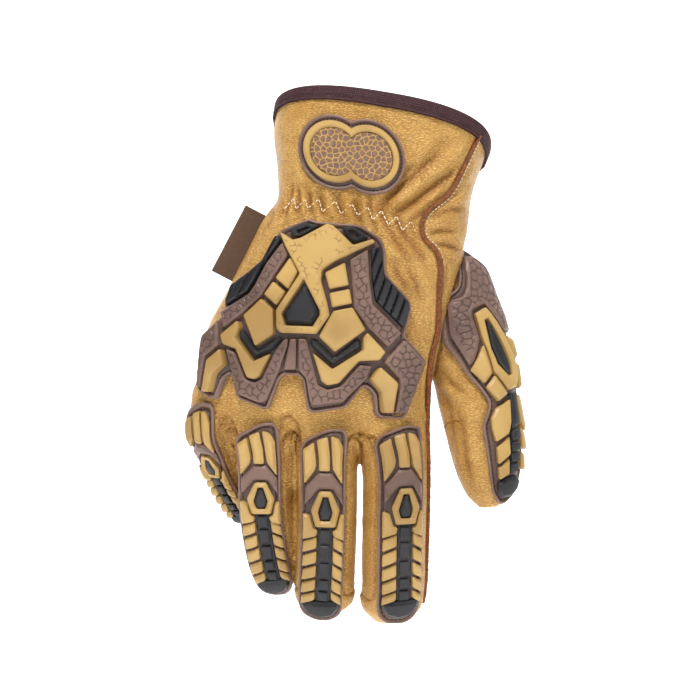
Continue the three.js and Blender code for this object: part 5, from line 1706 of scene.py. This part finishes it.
@dataclass(frozen=True)
class HandGuard:
    """Moulded guard on the back of the hand: a flanged base with a block for each plate.

    Outlines are in hundredths of the guard's breadth across and of its height down.
    """

    breadth: float = 114.7
    height: float = 98.0
    left: float = -92.1
    top: float = -45.1
    flange: Flange = Flange()
    frame: Outline = (
        (49, 0), (51.5, 1.5), (66, 3), (71, 3.5), (80.5, 10.5), (82, 16.5), (82, 27.5), (92.5, 40.5),
        (93.5, 44.5), (90.5, 58.5), (99, 69.5), (100, 72), (91.5, 98), (89.5, 100), (80, 99.5), (78, 97),
        (77.5, 87.5), (73, 83), (65, 94.5), (50.5, 97), (48, 95), (46.5, 80), (44, 78), (38.5, 78),
        (36.5, 79.5), (31.5, 94.5), (29.5, 95), (19, 90), (17.5, 87.5), (15.5, 77), (12, 79.5),
        (8.5, 89.5), (6.5, 90), (1, 86), (0, 84), (1.5, 65.5), (2.5, 58), (10.5, 49.5), (12, 45.5),
        (15.5, 32), (22.5, 26), (28.5, 20.5), (35, 8), (37.5, 5),
    )
    plates: tuple[tuple[str, str, Block], ...] = (
        ("keystone_frame", "moulded_tan", Block(
            ((57.5, 3.5), (60, 4.5), (68, 14), (76, 11), (77, 12.5), (60.5, 21.5), (55, 26), (54.5, 31.5),
             (57, 42), (58, 48.5), (52.5, 57.5), (37.5, 57), (36, 54.5), (36, 46), (46, 28), (40, 14),
             (38, 7.5), (43, 11.5), (46.5, 10.5)), 4.6,
            ((47.5, 30.5), (54, 46), (54, 48.5), (51, 54), (39.5, 53.5), (38, 47.5)), Top.CRACKED, 1.0)),
        ("keystone", "moulded_black", Block(
            ((48, 32.5), (53.1, 46), (53.1, 48.2), (50.4, 53), (40.1, 52.5), (38.9, 47.8)), 3.6,
            chamfer=1.6)),
        ("slot_left", "moulded_black", Block(
            ((41, 5.5), (48.5, 2.5), (53.5, 4), (46, 9), (43, 9.8)), 2.9,
            ((44, 6.2), (48.5, 4.4), (50, 5), (44.8, 8)))),
        ("slot_right", "moulded_black", Block(
            ((63, 5), (68, 4.2), (74.5, 9.8), (69, 12.2), (67, 11.5)), 2.9,
            ((65.5, 6.5), (68, 6), (71, 9.2), (68.5, 10.2)))),
        ("wing_left", "moulded_black", Block(
            ((35.5, 8.5), (37.3, 11), (30, 23), (25, 33), (23, 36.5), (13.3, 43.5), (16.5, 33), (23, 28),
             (29.5, 21.5)), 3.1, top=Top.RIBBED, chamfer=0.6, slant=-0.45)),
        ("wing_right", "moulded_black", Block(
            ((75.5, 15.5), (79, 14.5), (80, 18.5), (80.7, 29), (91, 41.5), (91.8, 44.5), (89.3, 54.5),
             (77.5, 41), (76, 30.5)), 3.1, top=Top.RIBBED, chamfer=0.6, slant=-0.35)),
        ("arm_left", "moulded_brown", Block(
            ((38.3, 12.5), (40.5, 18.5), (33.5, 31), (29, 39), (21.5, 47), (13.2, 54.5), (12, 46.5),
             (24.3, 37.7), (26.5, 34), (31.5, 23)), 3.3, top=Top.COBBLED)),
        ("arm_right", "moulded_brown", Block(
            ((66.7, 21), (74, 16), (74.6, 29.5), (76, 43), (88, 57), (82.5, 64), (74.3, 54.5),
             (68.3, 45), (67.5, 30.5)), 3.3, top=Top.COBBLED)),
        ("quad_left_1", "moulded_tan", Block(((42, 20), (45, 27), (41, 35.5), (35.8, 30)), 4.1)),
        ("quad_left_2", "moulded_tan", Block(((34.8, 31.8), (39.7, 37), (36, 43.5), (31, 38)), 4.1)),
        ("quad_left_3", "moulded_tan", Block(
            ((29.8, 40.2), (34.5, 45.5), (34.5, 57.5), (27, 63.5), (22.3, 48.5)), 4.1)),
        ("quad_right_1", "moulded_tan", Block(((64.5, 22.5), (66, 33.5), (58, 35.5), (56.3, 27.5)), 4.1)),
        ("quad_right_2", "moulded_tan", Block(((58, 37.5), (66.3, 35.5), (67.3, 42.5), (59, 44.5)), 4.1)),
        ("quad_right_3", "moulded_tan", Block(
            ((59.6, 46.3), (67.5, 44.5), (72.8, 55.5), (60, 66.5), (53.5, 58.8)), 4.1)),
        ("chevron_left", "moulded_black", Block(
            ((20.8, 55), (27, 65.7), (36, 58.7), (38, 60.5), (33, 66), (26.5, 69.5), (19.5, 58.5)), 3.0,
            top=Top.ROOFED)),
        ("chevron_right", "moulded_black", Block(
            ((50, 59.8), (53, 61), (59.8, 69), (70, 59.5), (71, 61.5), (71.2, 64.5), (59.5, 73.2),
             (57.5, 72), (49.8, 63)), 3.0, top=Top.ROOFED)),
        ("vee_left", "moulded_tan", Block(
            ((19.7, 51), (20.4, 54), (18.7, 59.5), (26, 71.3), (33.3, 67.5), (28.5, 78.5), (26.5, 80),
             (23.5, 79), (19, 65), (13.5, 62.5), (12.5, 58)), 4.1)),
        ("vee_right", "moulded_tan", Block(
            ((73.7, 57), (81, 66.5), (78.5, 70.5), (70, 71), (61.5, 82), (57, 83), (54.5, 81), (51, 67),
             (59, 75), (72, 65.5), (72, 59.5)), 4.1)),
        ("lobe_left", "moulded_brown", Block(
            ((14.5, 65), (18, 66.5), (22.3, 80), (26.5, 81.7), (29.7, 80), (35, 66.5), (38.8, 60.5),
             (40.3, 59.7), (40.3, 63), (36.8, 75), (31, 90.5), (28.5, 91.8), (19.5, 87.5), (18.8, 85.5)),
            3.3, top=Top.COBBLED)),
        ("lobe_right", "moulded_brown", Block(
            ((45, 60), (48, 60), (53, 83), (57, 85.3), (62.5, 83.5), (70.5, 73), (75.5, 73.5),
             (73.5, 79.5), (63.5, 91), (51, 93), (49.7, 91.5), (48, 79.5), (45, 75.5)), 3.3,
            top=Top.COBBLED)),
        ("rib_centre", "moulded_brown", Block(((41.5, 60), (43.9, 60), (43.7, 75), (38.8, 75)), 3.3)),
        ("flank_left", "moulded_brown", Block(
            ((10.8, 50.8), (11, 63), (5.3, 68.5), (3, 84.5), (1.5, 83.5), (2.8, 65.5), (3.8, 58.5)), 3.3,
            top=Top.COBBLED)),
        ("dogleg_left", "moulded_tan", Block(
            ((12.2, 65), (13.5, 72.5), (9.2, 77), (7, 86.5), (4.4, 86), (6.6, 70.5)), 4.1)),
        ("flank_right", "moulded_brown", Block(
            ((89.5, 60.5), (98, 71.5), (90.3, 97), (85.7, 97), (87.7, 83.5), (87.5, 80), (81, 71.5)), 3.3,
            top=Top.COBBLED)),
        ("dogleg_right", "moulded_tan", Block(
            ((79, 74), (86.3, 82), (84.2, 96.8), (80.5, 96.8), (79.5, 86.3), (75, 79.8)), 4.1)),
    )

    def placed(self, outline: Sequence[Sequence[float]]) -> Outline:
        """An outline in the front view's millimetres."""
        return tuple(
            (self.left + across / 100 * self.breadth, self.top - down / 100 * self.height)
            for across, down in outline
        )

    def build(self, bench: Bench) -> None:
        """Makes the base, its stitches and the plates."""
        frame = rounded(self.placed(self.frame), 2.6, 0.9)
        sheet = self.flange.sheet(frame, SEAT, SLEEVE.place)
        stitches = self.flange.stitches(frame, SEAT, SLEEVE.place)
        bench.piece("hand_guard_flange", sheet, "moulded_brown", ["hand_guard_base"])
        bench.stitches("hand_guard_stitches", stitches, "moulded_brown")
        for name, finish, plate in self.plates:
            hole = self.placed(plate.hole) if plate.hole else None
            block = replace(plate, outline=self.placed(plate.outline), hole=hole)
            bench.piece(name + "_block", moulded(block, PLATE_FOOT, SLEEVE.place), finish, [name])


@dataclass(frozen=True)
class GuardLayout:
    """Outlines of a digit's guard: across from -1 to 1 of its spread, down from 0 to 1 of its span."""

    base: tuple[tuple[float, float, float], ...]
    ridges: tuple[Outline, ...]
    collar: Outline
    ring: Outline
    ring_hole: Outline
    insert: Outline
    barbs: tuple[Outline, ...]
    scales: tuple[Outline, ...]
    strip: Outline
    blocks: tuple[Outline, ...]
    tip: Outline
    collar_top: Top = Top.FLAT


def leaning(
    inner: float, outer: float, lower: float, rows: Sequence[tuple[float, float]]
) -> tuple[Outline, ...]:
    """Outlines between two sides, a row each, the outer side lower than the inner one."""
    return tuple(
        ((inner, top), (outer, top + lower), (outer, bottom + lower), (inner, bottom)) for top, bottom in rows
    )


FINGER_LAYOUT = GuardLayout(
    base=(
        (0, 0.3, 0.8), (0.02, -0.1, 0.96), (0.055, -0.75, 1), (0.1, -1, 1), (0.3, -1, 1), (0.54, -1, 1),
        (0.79, -1, 1), (0.9, -1, 1), (0.96, -0.84, 0.86), (1, -0.42, 0.46),
    ),
    ridges=(
        ((-0.74, 0.1), (-0.3, 0.068), (-0.22, 0.17), (-0.3, 0.2), (-0.72, 0.27)),
        ((-0.18, 0.058), (0.22, 0.042), (0.32, 0.13), (0.32, 0.2), (-0.1, 0.2), (-0.1, 0.14)),
        ((0.34, 0.038), (0.62, 0.05), (0.78, 0.09), (0.8, 0.27), (0.44, 0.19)),
    ),
    collar=(
        (-0.12, 0.212), (0.4, 0.212), (0.82, 0.285), (0.84, 0.385), (0.46, 0.295), (-0.14, 0.295),
        (-0.72, 0.385), (-0.72, 0.29),
    ),
    ring=((-0.08, 0.308), (0.38, 0.308), (0.7, 0.41), (0.54, 0.498), (-0.24, 0.498), (-0.42, 0.41)),
    ring_hole=((0.04, 0.338), (0.26, 0.338), (0.44, 0.425), (0.34, 0.468), (-0.05, 0.468), (-0.15, 0.425)),
    insert=((0.08, 0.345), (0.22, 0.345), (0.39, 0.425), (0.31, 0.462), (-0.02, 0.462), (-0.1, 0.425)),
    barbs=(
        ((-0.78, 0.43), (-0.5, 0.445), (-0.34, 0.51), (-0.16, 0.515), (-0.22, 0.545), (-0.78, 0.565)),
        ((0.88, 0.43), (0.72, 0.445), (0.62, 0.51), (0.44, 0.515), (0.5, 0.545), (0.88, 0.565)),
    ),
    scales=(
        *leaning(-0.2, -0.76, 0.026, (
            (0.55, 0.602), (0.618, 0.672), (0.688, 0.742), (0.758, 0.81), (0.825, 0.862))),
        *leaning(0.5, 0.86, 0.026, (
            (0.545, 0.597), (0.613, 0.667), (0.683, 0.737), (0.753, 0.805), (0.82, 0.855))),
    ),
    strip=((-0.17, 0.495), (0.47, 0.495), (0.47, 0.9), (-0.17, 0.9)),
    blocks=leaning(
        -0.055, 0.355, 0.0, ((0.512, 0.575), (0.59, 0.66), (0.677, 0.745), (0.76, 0.805), (0.82, 0.865))
    ),
    tip=(
        (-0.78, 0.876), (0.82, 0.868), (0.78, 0.905), (0.52, 0.94), (0.04, 0.954), (-0.46, 0.94),
        (-0.74, 0.905),
    ),
)

THUMB_LAYOUT = GuardLayout(
    base=(
        (0.005, 0.2, 0.56), (0.04, -0.14, 0.78), (0.075, -0.36, 0.84), (0.105, -0.53, 0.86),
        (0.12, -0.84, 0.86), (0.15, -0.92, 0.86), (0.32, -0.96, 0.88), (0.46, -0.79, 0.88),
        (0.585, -0.39, 0.88), (0.63, -0.5, 0.88), (0.67, -0.66, 0.88), (0.8, -0.65, 0.86),
        (0.885, -0.64, 0.72), (0.945, -0.58, 0.56), (0.98, -0.22, 0.22),
    ),
    ridges=(
        ((-0.31, 0.36), (-0.25, 0.475), (-0.47, 0.51), (-0.71, 0.45)),
        ((-0.19, 0.485), (0.11, 0.562), (-0.19, 0.588), (-0.45, 0.525)),
        ((0.42, 0.338), (0.72, 0.355), (0.78, 0.38), (0.8, 0.43), (0.66, 0.43), (0.54, 0.385)),
        ((0.64, 0.445), (0.8, 0.45), (0.8, 0.545), (0.64, 0.545)),
    ),
    collar=(
        (0.22, 0.03), (0.5, 0.04), (0.72, 0.09), (0.76, 0.17), (0.78, 0.33), (0.44, 0.315),
        (0.08, 0.193), (-0.34, 0.207), (-0.38, 0.24), (-0.34, 0.33), (-0.6, 0.418), (-0.7, 0.43),
        (-0.84, 0.3), (-0.84, 0.26), (-0.8, 0.155), (-0.72, 0.142), (-0.46, 0.143), (-0.3, 0.115),
        (-0.06, 0.06),
    ),
    ring=(
        (-0.3, 0.225), (0.03, 0.21), (0.12, 0.24), (0.34, 0.33), (0.55, 0.43), (0.57, 0.5),
        (0.44, 0.54), (0.15, 0.55), (-0.21, 0.47), (-0.29, 0.325),
    ),
    ring_hole=(
        (-0.12, 0.262), (-0.01, 0.257), (0.2, 0.35), (0.37, 0.455), (0.35, 0.49), (0.2, 0.495),
        (-0.07, 0.445), (-0.15, 0.38),
    ),
    insert=(
        (-0.07, 0.277), (-0.02, 0.272), (0.15, 0.357), (0.31, 0.458), (0.29, 0.482), (0.19, 0.485),
        (-0.02, 0.44), (-0.1, 0.378),
    ),
    barbs=((
        (-0.09, 0.602), (0.17, 0.585), (0.11, 0.675), (0.00, 0.715), (-0.41, 0.742), (-0.46, 0.69),
        (-0.44, 0.65), (-0.27, 0.612),
    ),),
    scales=(
        ((-0.4, 0.765), (0.02, 0.727), (0.00, 0.795), (-0.41, 0.83)),
        ((-0.4, 0.845), (-0.02, 0.812), (-0.04, 0.868), (-0.39, 0.888)),
        ((0.5, 0.57), (0.74, 0.57), (0.84, 0.66), (0.8, 0.71), (0.52, 0.675)),
        ((0.52, 0.69), (0.82, 0.722), (0.8, 0.78), (0.5, 0.768)),
        ((0.48, 0.785), (0.74, 0.797), (0.66, 0.855), (0.44, 0.845)),
    ),
    strip=((0.2, 0.56), (0.46, 0.56), (0.47, 0.7), (0.4, 0.87), (0.02, 0.87), (0.1, 0.7)),
    blocks=(
        ((0.22, 0.565), (0.44, 0.56), (0.46, 0.68), (0.13, 0.695)),
        ((0.12, 0.705), (0.46, 0.7), (0.44, 0.74), (0.11, 0.742)),
        ((0.09, 0.752), (0.43, 0.748), (0.4, 0.782), (0.08, 0.785)),
        ((0.05, 0.793), (0.38, 0.79), (0.37, 0.822), (0.05, 0.825)),
        ((0.04, 0.833), (0.36, 0.83), (0.34, 0.862), (0.03, 0.868)),
    ),
    tip=(
        (-0.4, 0.9), (-0.05, 0.882), (0.35, 0.875), (0.5, 0.888), (0.46, 0.925), (0.24, 0.95),
        (-0.15, 0.955), (-0.4, 0.935),
    ),
    collar_top=Top.COBBLED,
)


@dataclass(frozen=True)
class DigitGuard:
    """Moulded guard on a digit: flanged base with collar, ridges, ring with scales, and spine."""

    digit: Digit
    layout: GuardLayout
    flange: Flange = Flange(bead=0.8, bead_width=1.3, channel=1.85)

    def block(self, outline: Outline, height: float, **shape: object) -> Shape:
        """A moulded block of guard shares."""
        block = Block(self.digit.outline(outline), height, **shape)
        return moulded(block, PLATE_FOOT, self.digit.place, fine=1.0)

    def base_outline(self) -> Array:
        """Outline of the base: down its left side, then up its right."""
        left = [(a, down) for down, a, _ in self.layout.base]
        right = [(b, down) for down, _, b in reversed(self.layout.base)]
        return rounded(self.digit.outline(left + right), 3.0, 0.8)

    def build(self, bench: Bench) -> None:
        """Makes the four pieces and the stitches of the guard."""
        name, layout = self.digit.name, self.layout
        outline = self.base_outline()
        base = [self.flange.sheet(outline, SEAT, self.digit.place, 1.3)]
        base.append(self.block(layout.collar, 2.6, top=layout.collar_top, chamfer=1.0))
        bench.piece(f"{name}_guard_flange", joined(base), "moulded_brown", [f"{name}_guard_base"])
        stitches = self.flange.stitches(outline, SEAT, self.digit.place)
        bench.stitches(f"{name}_guard_stitches", stitches, "moulded_brown")
        ridges = [self.block(ridge, 3.6, chamfer=1.3) for ridge in layout.ridges]
        bench.piece(f"{name}_ridge_blocks", joined(ridges), "moulded_tan", [f"{name}_ridges"])
        hole = self.digit.outline(layout.ring_hole)
        scales = [self.block(layout.ring, 3.6, hole=hole, chamfer=1.0)]
        scales += [self.block(barb, 3.0, chamfer=0.9) for barb in layout.barbs]
        scales += [self.block(scale, 3.3, top=Top.OVERLAPPING) for scale in layout.scales]
        bench.piece(f"{name}_scale_blocks", joined(scales), "moulded_tan", [f"{name}_scales"])
        spine = [self.block(layout.insert, 3.1)]
        spine.append(self.block(layout.strip, 0.7, chamfer=0.3))
        spine += [self.block(step, 2.3, chamfer=0.5, corner=0.5) for step in layout.blocks]
        spine.append(self.block(layout.tip, 2.8, chamfer=1.4))
        bench.piece(f"{name}_spine_blocks", joined(spine), "moulded_black", [f"{name}_spine"])


# Trim


def uv_grid(run: Array, around: Array) -> Array:
    """UV of each point of a grid, from its lengths along the path and round the profile."""
    return np.stack(np.broadcast_arrays(run[:, None], around[None]), axis=-1).reshape(-1, 2)


@dataclass(frozen=True)
class Trim:
    """Binding, seam, label, badge and stitches."""

    binding_width: float = 5.0
    binding_thickness: float = 1.15
    leather: float = 1.6
    tag_length: float = 36.5
    tag_width: float = 11.4
    badge_centre: tuple[float, float] = (-15.3, -13.7)
    badge_slope: float = -0.14
    lobe_radius: float = 18.2
    lobe_spacing: float = 17.6
    badge_flange: Flange = Flange(1.5, 0.6, 1.3, 1.9, 0.5, 1.3, 1.9)

    def build(self, bench: Bench) -> None:
        """Makes every piece of trim."""
        self.binding(bench)
        self.welt(bench)
        self.tag(bench)
        self.badge(bench)
        self.gather(bench)

    def binding(self, bench: Bench) -> None:
        """Tape folded over the rim: a rounded hairpin profile carried round it."""
        thick, wide = self.binding_thickness, self.binding_width
        outside, inside = 0.35 + thick, -self.leather - 0.6 - thick
        middle, reach = (outside + inside) / 2, (outside - inside) / 2
        bend = np.linspace(0, math.pi, 13)
        over = np.c_[middle + reach * np.cos(bend), reach * 0.65 * np.sin(bend)]
        under = np.c_[middle - (reach - thick) * np.cos(bend), (reach - thick) * 0.65 * np.sin(bend)]
        levels = np.linspace(-wide, -0.6, 17)
        flat = np.ones(17)
        sewn = outside - 0.4 * np.exp(-(((levels + wide - 1.6) / 0.4) ** 2))
        profile = np.vstack([
            np.c_[sewn, levels], over, np.c_[inside * flat, levels[::-1]],
            np.c_[(inside + thick) * flat, levels], under, np.c_[(outside - thick) * flat, levels[::-1]],
        ])
        count = 360
        turn = np.linspace(0, 2 * math.pi, count, endpoint=False)
        ripple = 0.14 * np.sin(turn * 23) + 0.1 * np.sin(turn * 51 + 1)
        offsets = profile[None, :, 0] + ripple[:, None] * (profile[None, :, 1] < -2)
        grid = SLEEVE.point(-profile[None, :, 1] / SLEEVE.length, turn[:, None], offsets)
        sides = len(profile)
        index = np.arange(count * sides).reshape(count, sides)
        after, beside = np.roll(index, -1, axis=0), np.roll(index, -1, axis=1)
        quads = np.stack([index, beside, np.roll(beside, -1, axis=0), after], axis=-1).reshape(-1, 4)
        uv = uv_grid(run_of(grid[:, 0]), run_of(profile))
        shape = Shape(grid.reshape(-1, 3), quads=quads).outward()
        bench.piece("cuff_tape", shape, "binding_tape", ["cuff_binding"], sharp=60, uv=uv)
        heads = np.linspace(0, 2 * math.pi, 150, endpoint=False)
        level = (wide - 1.6) / SLEEVE.length
        first, last, above = (
            SLEEVE.point(np.full(150, level), heads + step, np.full(150, outside - 0.3 + lift))
            for step, lift in ((0, 0.0), (0.028, 0.0), (0, 1.0))
        )
        stitches = capsules(first, last, unit(above - first), 0.22, 0.15)
        bench.stitches("cuff_tape_stitches", stitches, "binding_tape")

    def seam_line(self) -> tuple[Array, Array]:
        """The seam from the cuff to the tip of the index finger.

        Returns:
            Points on the leather and directions away from it.
        """
        flat = resampled(SEAM[:-1], 0.8)
        low, high = (SLEEVE.place(flat[:, 0], flat[:, 1], h, 0.0) for h in (0.0, 2.0))
        downs = np.linspace(0.12, 0.93, 120)
        angle = np.full(120, 0.3) - 0.3 * np.linspace(0, 1, 120)
        side_low, side_high = (INDEX.point(downs, angle, np.full(120, h)) for h in (0.0, 2.0))
        keep = low[:, 2] > side_low[0, 2] + 3
        points = np.vstack([low[keep], side_low])
        up = unit(np.vstack([(high - low)[keep], side_high - side_low]))
        keys = run_of(points)
        both = read_at(np.linspace(0, keys[-1], int(keys[-1] / 0.7)), keys, np.hstack([points, up]))
        padded = np.pad(both, ((4, 4), (0, 0)), mode="edge")
        soft = np.stack([np.convolve(column, np.ones(9) / 9, "valid") for column in padded.T], axis=1)
        return soft[:, :3], unit(soft[:, 3:])

    def welt(self, bench: Bench) -> None:
        """Raw suede edge standing on the seam, and a row of stitches on its thumb side."""
        path, up = self.seam_line()
        along = unit(np.gradient(path, axis=0))
        side = unit(np.cross(along, up))
        turn = np.linspace(0, 2 * math.pi, 14, endpoint=False)
        c, s = squircle(turn, 4)
        spread = np.repeat(path, 14, axis=0) + np.tile(np.c_[c, s, c], (len(path), 1))
        rough = (1 + 0.16 * lattice_noise(spread, 1.1, 11)).reshape(len(path), 14)
        ends = np.minimum(1, np.minimum(np.arange(len(path)), np.arange(len(path))[::-1]) / 3 + 0.35)
        size = (rough * ends[:, None])[..., None]
        size = size * (0.85 + 0.25 * ramp(-path[:, 2], 40, 75))[:, None, None]
        grid = path[:, None] + side[:, None] * c[None, :, None] * 1.15 * size
        grid = grid + up[:, None] * (0.7 + s[None, :, None] * 1.1 * size)
        bench.piece("seam_edge", lofted(grid), "suede_edge", ["seam_welt"], sharp=180)
        on_hand = path[:, 2] > -138
        starts = np.flatnonzero(on_hand)[4::3]
        starts = starts[starts + 2 < len(path)]
        outwards = -side if side[0, 0] < 0 else side
        first = path[starts] + outwards[starts] * 2.0 + up[starts] * 0.35
        last = path[starts + 2] + outwards[starts + 2] * 2.0 + up[starts + 2] * 0.35
        stitches = capsules(first, last, up[starts], 0.33, 0.3)
        bench.stitches("seam_stitches", stitches, "suede_edge", "pale_thread")

    def tag(self, bench: Bench) -> None:
        """Folded label in the side seam: a flattened loop carried down the seam."""
        ends = []
        for drop in (0.355, 0.555):
            point = SLEEVE.point(np.float64(drop), np.float64(math.pi), 0.3)
            point[1] = SLEEVE.section(np.float64(drop))[2]
            ends.append(point)
        upper, lower = ends
        along = unit(lower - upper)
        out = unit(np.array([along[2], 0, -along[0]]))
        share = np.linspace(0, 1, 40)
        path = upper + along * (share * self.tag_length)[:, None]
        path[:, 1] += 0.5 * np.sin(share * math.pi) - 0.6
        turn = np.linspace(0, 2 * math.pi, 28, endpoint=False)
        c, s = squircle(turn, 6)
        reach = (self.tag_width + 3) / 2
        profile = np.c_[self.tag_width / 2 - 1.5 + reach * c, 0.55 * s]
        up = np.array([0.0, 1.0, 0.0])
        shape = lofted(path[:, None] + profile[None, :, :1] * out + profile[None, :, 1:] * up)
        uv = np.vstack([uv_grid(share * self.tag_length, run_of(profile)), [[0, 0], [self.tag_length, 0]]])
        bench.piece("side_label", shape, "side_label", ["side_tag"], slot="binding_tape", uv=uv)

    def lobes(self, radius: float) -> Outline:
        """Outline of two overlapping round lobes on the cuff."""
        reach = self.lobe_spacing / 2
        waist = math.acos(min(0.999, reach / radius))
        sweep = np.linspace(-math.pi + waist, math.pi - waist, 40)
        right = np.c_[reach + radius * np.cos(sweep), radius * np.sin(sweep)]
        x, z = np.vstack([right, -right]).T
        return tuple(zip(self.badge_centre[0] + x, self.badge_centre[1] + z + x * self.badge_slope))

    def badge(self, bench: Bench) -> None:
        """Moulded two-lobed patch: stitched flange, tan ring and veined ground."""
        flange = self.badge_flange
        outline = rounded(self.lobes(self.lobe_radius), 0.8, 0.8)
        sheet = flange.sheet(outline, SEAT, SLEEVE.place)
        stitches = flange.stitches(outline, SEAT, SLEEVE.place)
        bench.piece("badge_flange", sheet, "moulded_brown", ["badge_base"])
        bench.stitches("badge_stitches", stitches, "moulded_brown")
        outer, inner = self.lobe_radius - 3.2, self.lobe_radius - 6.2
        ring = Block(self.lobes(outer), 1.6, self.lobes(inner), chamfer=0.5, corner=0.8)
        foot = SEAT + 1.4
        bench.piece("badge_band", moulded(ring, foot, SLEEVE.place), "moulded_tan", ["badge_ring"])
        ground = Block(self.lobes(inner - 0.2), 0.5, top=Top.VEINED, chamfer=0.3)
        bench.piece("badge_ground", moulded(ground, foot, SLEEVE.place), "badge_ground", slot="moulded_brown")

    def gather(self, bench: Bench) -> None:
        """Pale zigzag stitches over the elastic at the wrist, three to each stroke."""
        corners = np.array(GATHER)
        parts = np.linspace(0, 1, 4)
        start, span = corners[:-1, None], np.diff(corners, axis=0)[:, None]
        first = (start + span * (parts[:-1] + 0.03)[None, :, None]).reshape(-1, 2)
        last = (start + span * (parts[1:] - 0.05)[None, :, None]).reshape(-1, 2)
        a, b, above = (
            SLEEVE.place(flat[:, 0], flat[:, 1], height, 0.0)
            for flat, height in ((first, 0.75), (last, 0.75), (first, 2.0))
        )
        stitches = capsules(a, b, unit(above - a), 0.24, 0.2)
        bench.stitches("gather_stitches", stitches, "leather", "pale_thread")


# Studio


@dataclass(frozen=True)
class Studio:
    """Pale sweep, soft lights and a long lens square to the back of the hand."""

    centre: tuple[float, float, float] = (-0.0157, 0.0, -0.1093)
    distance: float = 1.7
    frame: float = 0.343
    floor: float = -0.42

    def build(self) -> None:
        """Makes the sweep, the lights, the world and the camera."""
        self.sweep()
        self.lights()
        scene = bpy.context.scene
        camera = bpy.data.cameras.new("camera")
        camera.sensor_width = 36.0
        camera.lens = camera.sensor_width * self.distance / self.frame
        camera.clip_end = 50.0
        obj = bpy.data.objects.new("camera", camera)
        obj.location = (self.centre[0], -self.distance - 0.02, self.centre[2])
        obj.rotation_euler = (math.radians(90), 0, 0)
        scene.collection.objects.link(obj)
        scene.camera = obj
        scene.view_settings.view_transform = "Standard"
        scene.view_settings.look = "None"

    def sweep(self) -> None:
        """Floor that curves up into a backdrop, as a profile carried sideways."""
        turn = np.linspace(0, math.pi / 2, 24)
        bend = np.c_[1.0 + 1.2 * np.sin(turn), self.floor + 1.2 - 1.2 * np.cos(turn)]
        profile = np.vstack([[(-4.0, self.floor)], bend, [(2.2, 5.0)]])
        sides = np.array([-5.0, 5.0])
        along, up = profile.T
        grid = np.stack(np.broadcast_arrays(sides[:, None], along[None], up[None]), axis=-1)
        index = np.arange(2 * len(profile)).reshape(2, -1)
        quads = np.stack([index[0, :-1], index[1, :-1], index[1, 1:], index[0, 1:]], axis=1)
        mesh = bpy.data.meshes.new("sweep")
        mesh.from_pydata(grid.reshape(-1, 3).tolist(), [], quads.tolist())
        mesh.shade_smooth()
        material, w, shader = new_material("pale_sweep")
        w.plug(shader, {
            "Base Color": (0.92, 0.92, 0.92, 1), "Roughness": 0.9,
            "Emission Color": (1, 1, 1, 1), "Emission Strength": 0.5,
        })
        mesh.materials.append(material)
        obj = bpy.data.objects.new("sweep", mesh)
        bpy.context.scene.collection.objects.link(obj)

    def lights(self) -> None:
        """Large soft key from the upper left, a fill, a top light and a pale world."""
        for name, place, size, power in (
            ("key", (-0.3, -1.1, 1.4), 0.42, 32.0),
            ("fill", (1.3, -1.3, 0.5), 0.8, 6.5),
            ("top", (0.1, -0.2, 1.4), 0.8, 7.0),
            ("backdrop_left", (-1.2, 1.0, 0.6), 1.0, 18.0),
            ("backdrop_right", (1.2, 1.0, 0.6), 1.0, 18.0),
        ):
            light = bpy.data.lights.new(name, "AREA")
            light.size = size
            light.energy = power
            obj = bpy.data.objects.new(name, light)
            obj.location = place
            aim = Vector(self.centre) if "backdrop" not in name else Vector((place[0] * 0.3, 2.2, 0.0))
            obj.rotation_euler = (aim - Vector(place)).to_track_quat("-Z", "Y").to_euler()
            bpy.context.scene.collection.objects.link(obj)
        world = bpy.data.worlds.new("pale_world")
        world.use_nodes = True
        background = world.node_tree.nodes["Background"]
        background.inputs["Color"].default_value = (1, 1, 1, 1)
        background.inputs["Strength"].default_value = 0.22
        bpy.context.scene.world = world


def main() -> None:
    """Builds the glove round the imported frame, piece by piece, and the studio."""
    logging.basicConfig(level=logging.INFO, format="%(name)s %(message)s")
    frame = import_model()
    LOG.info("frame: %d solids", len(frame["nodes"]))
    Studio().build()
    bench = Bench()
    LeatherBody().build(bench)
    HandGuard().build(bench)
    for digit in FINGERS:
        DigitGuard(digit, FINGER_LAYOUT).build(bench)
    DigitGuard(THUMB, THUMB_LAYOUT).build(bench)
    Trim().build(bench)


if __name__ == "__main__":
    main()
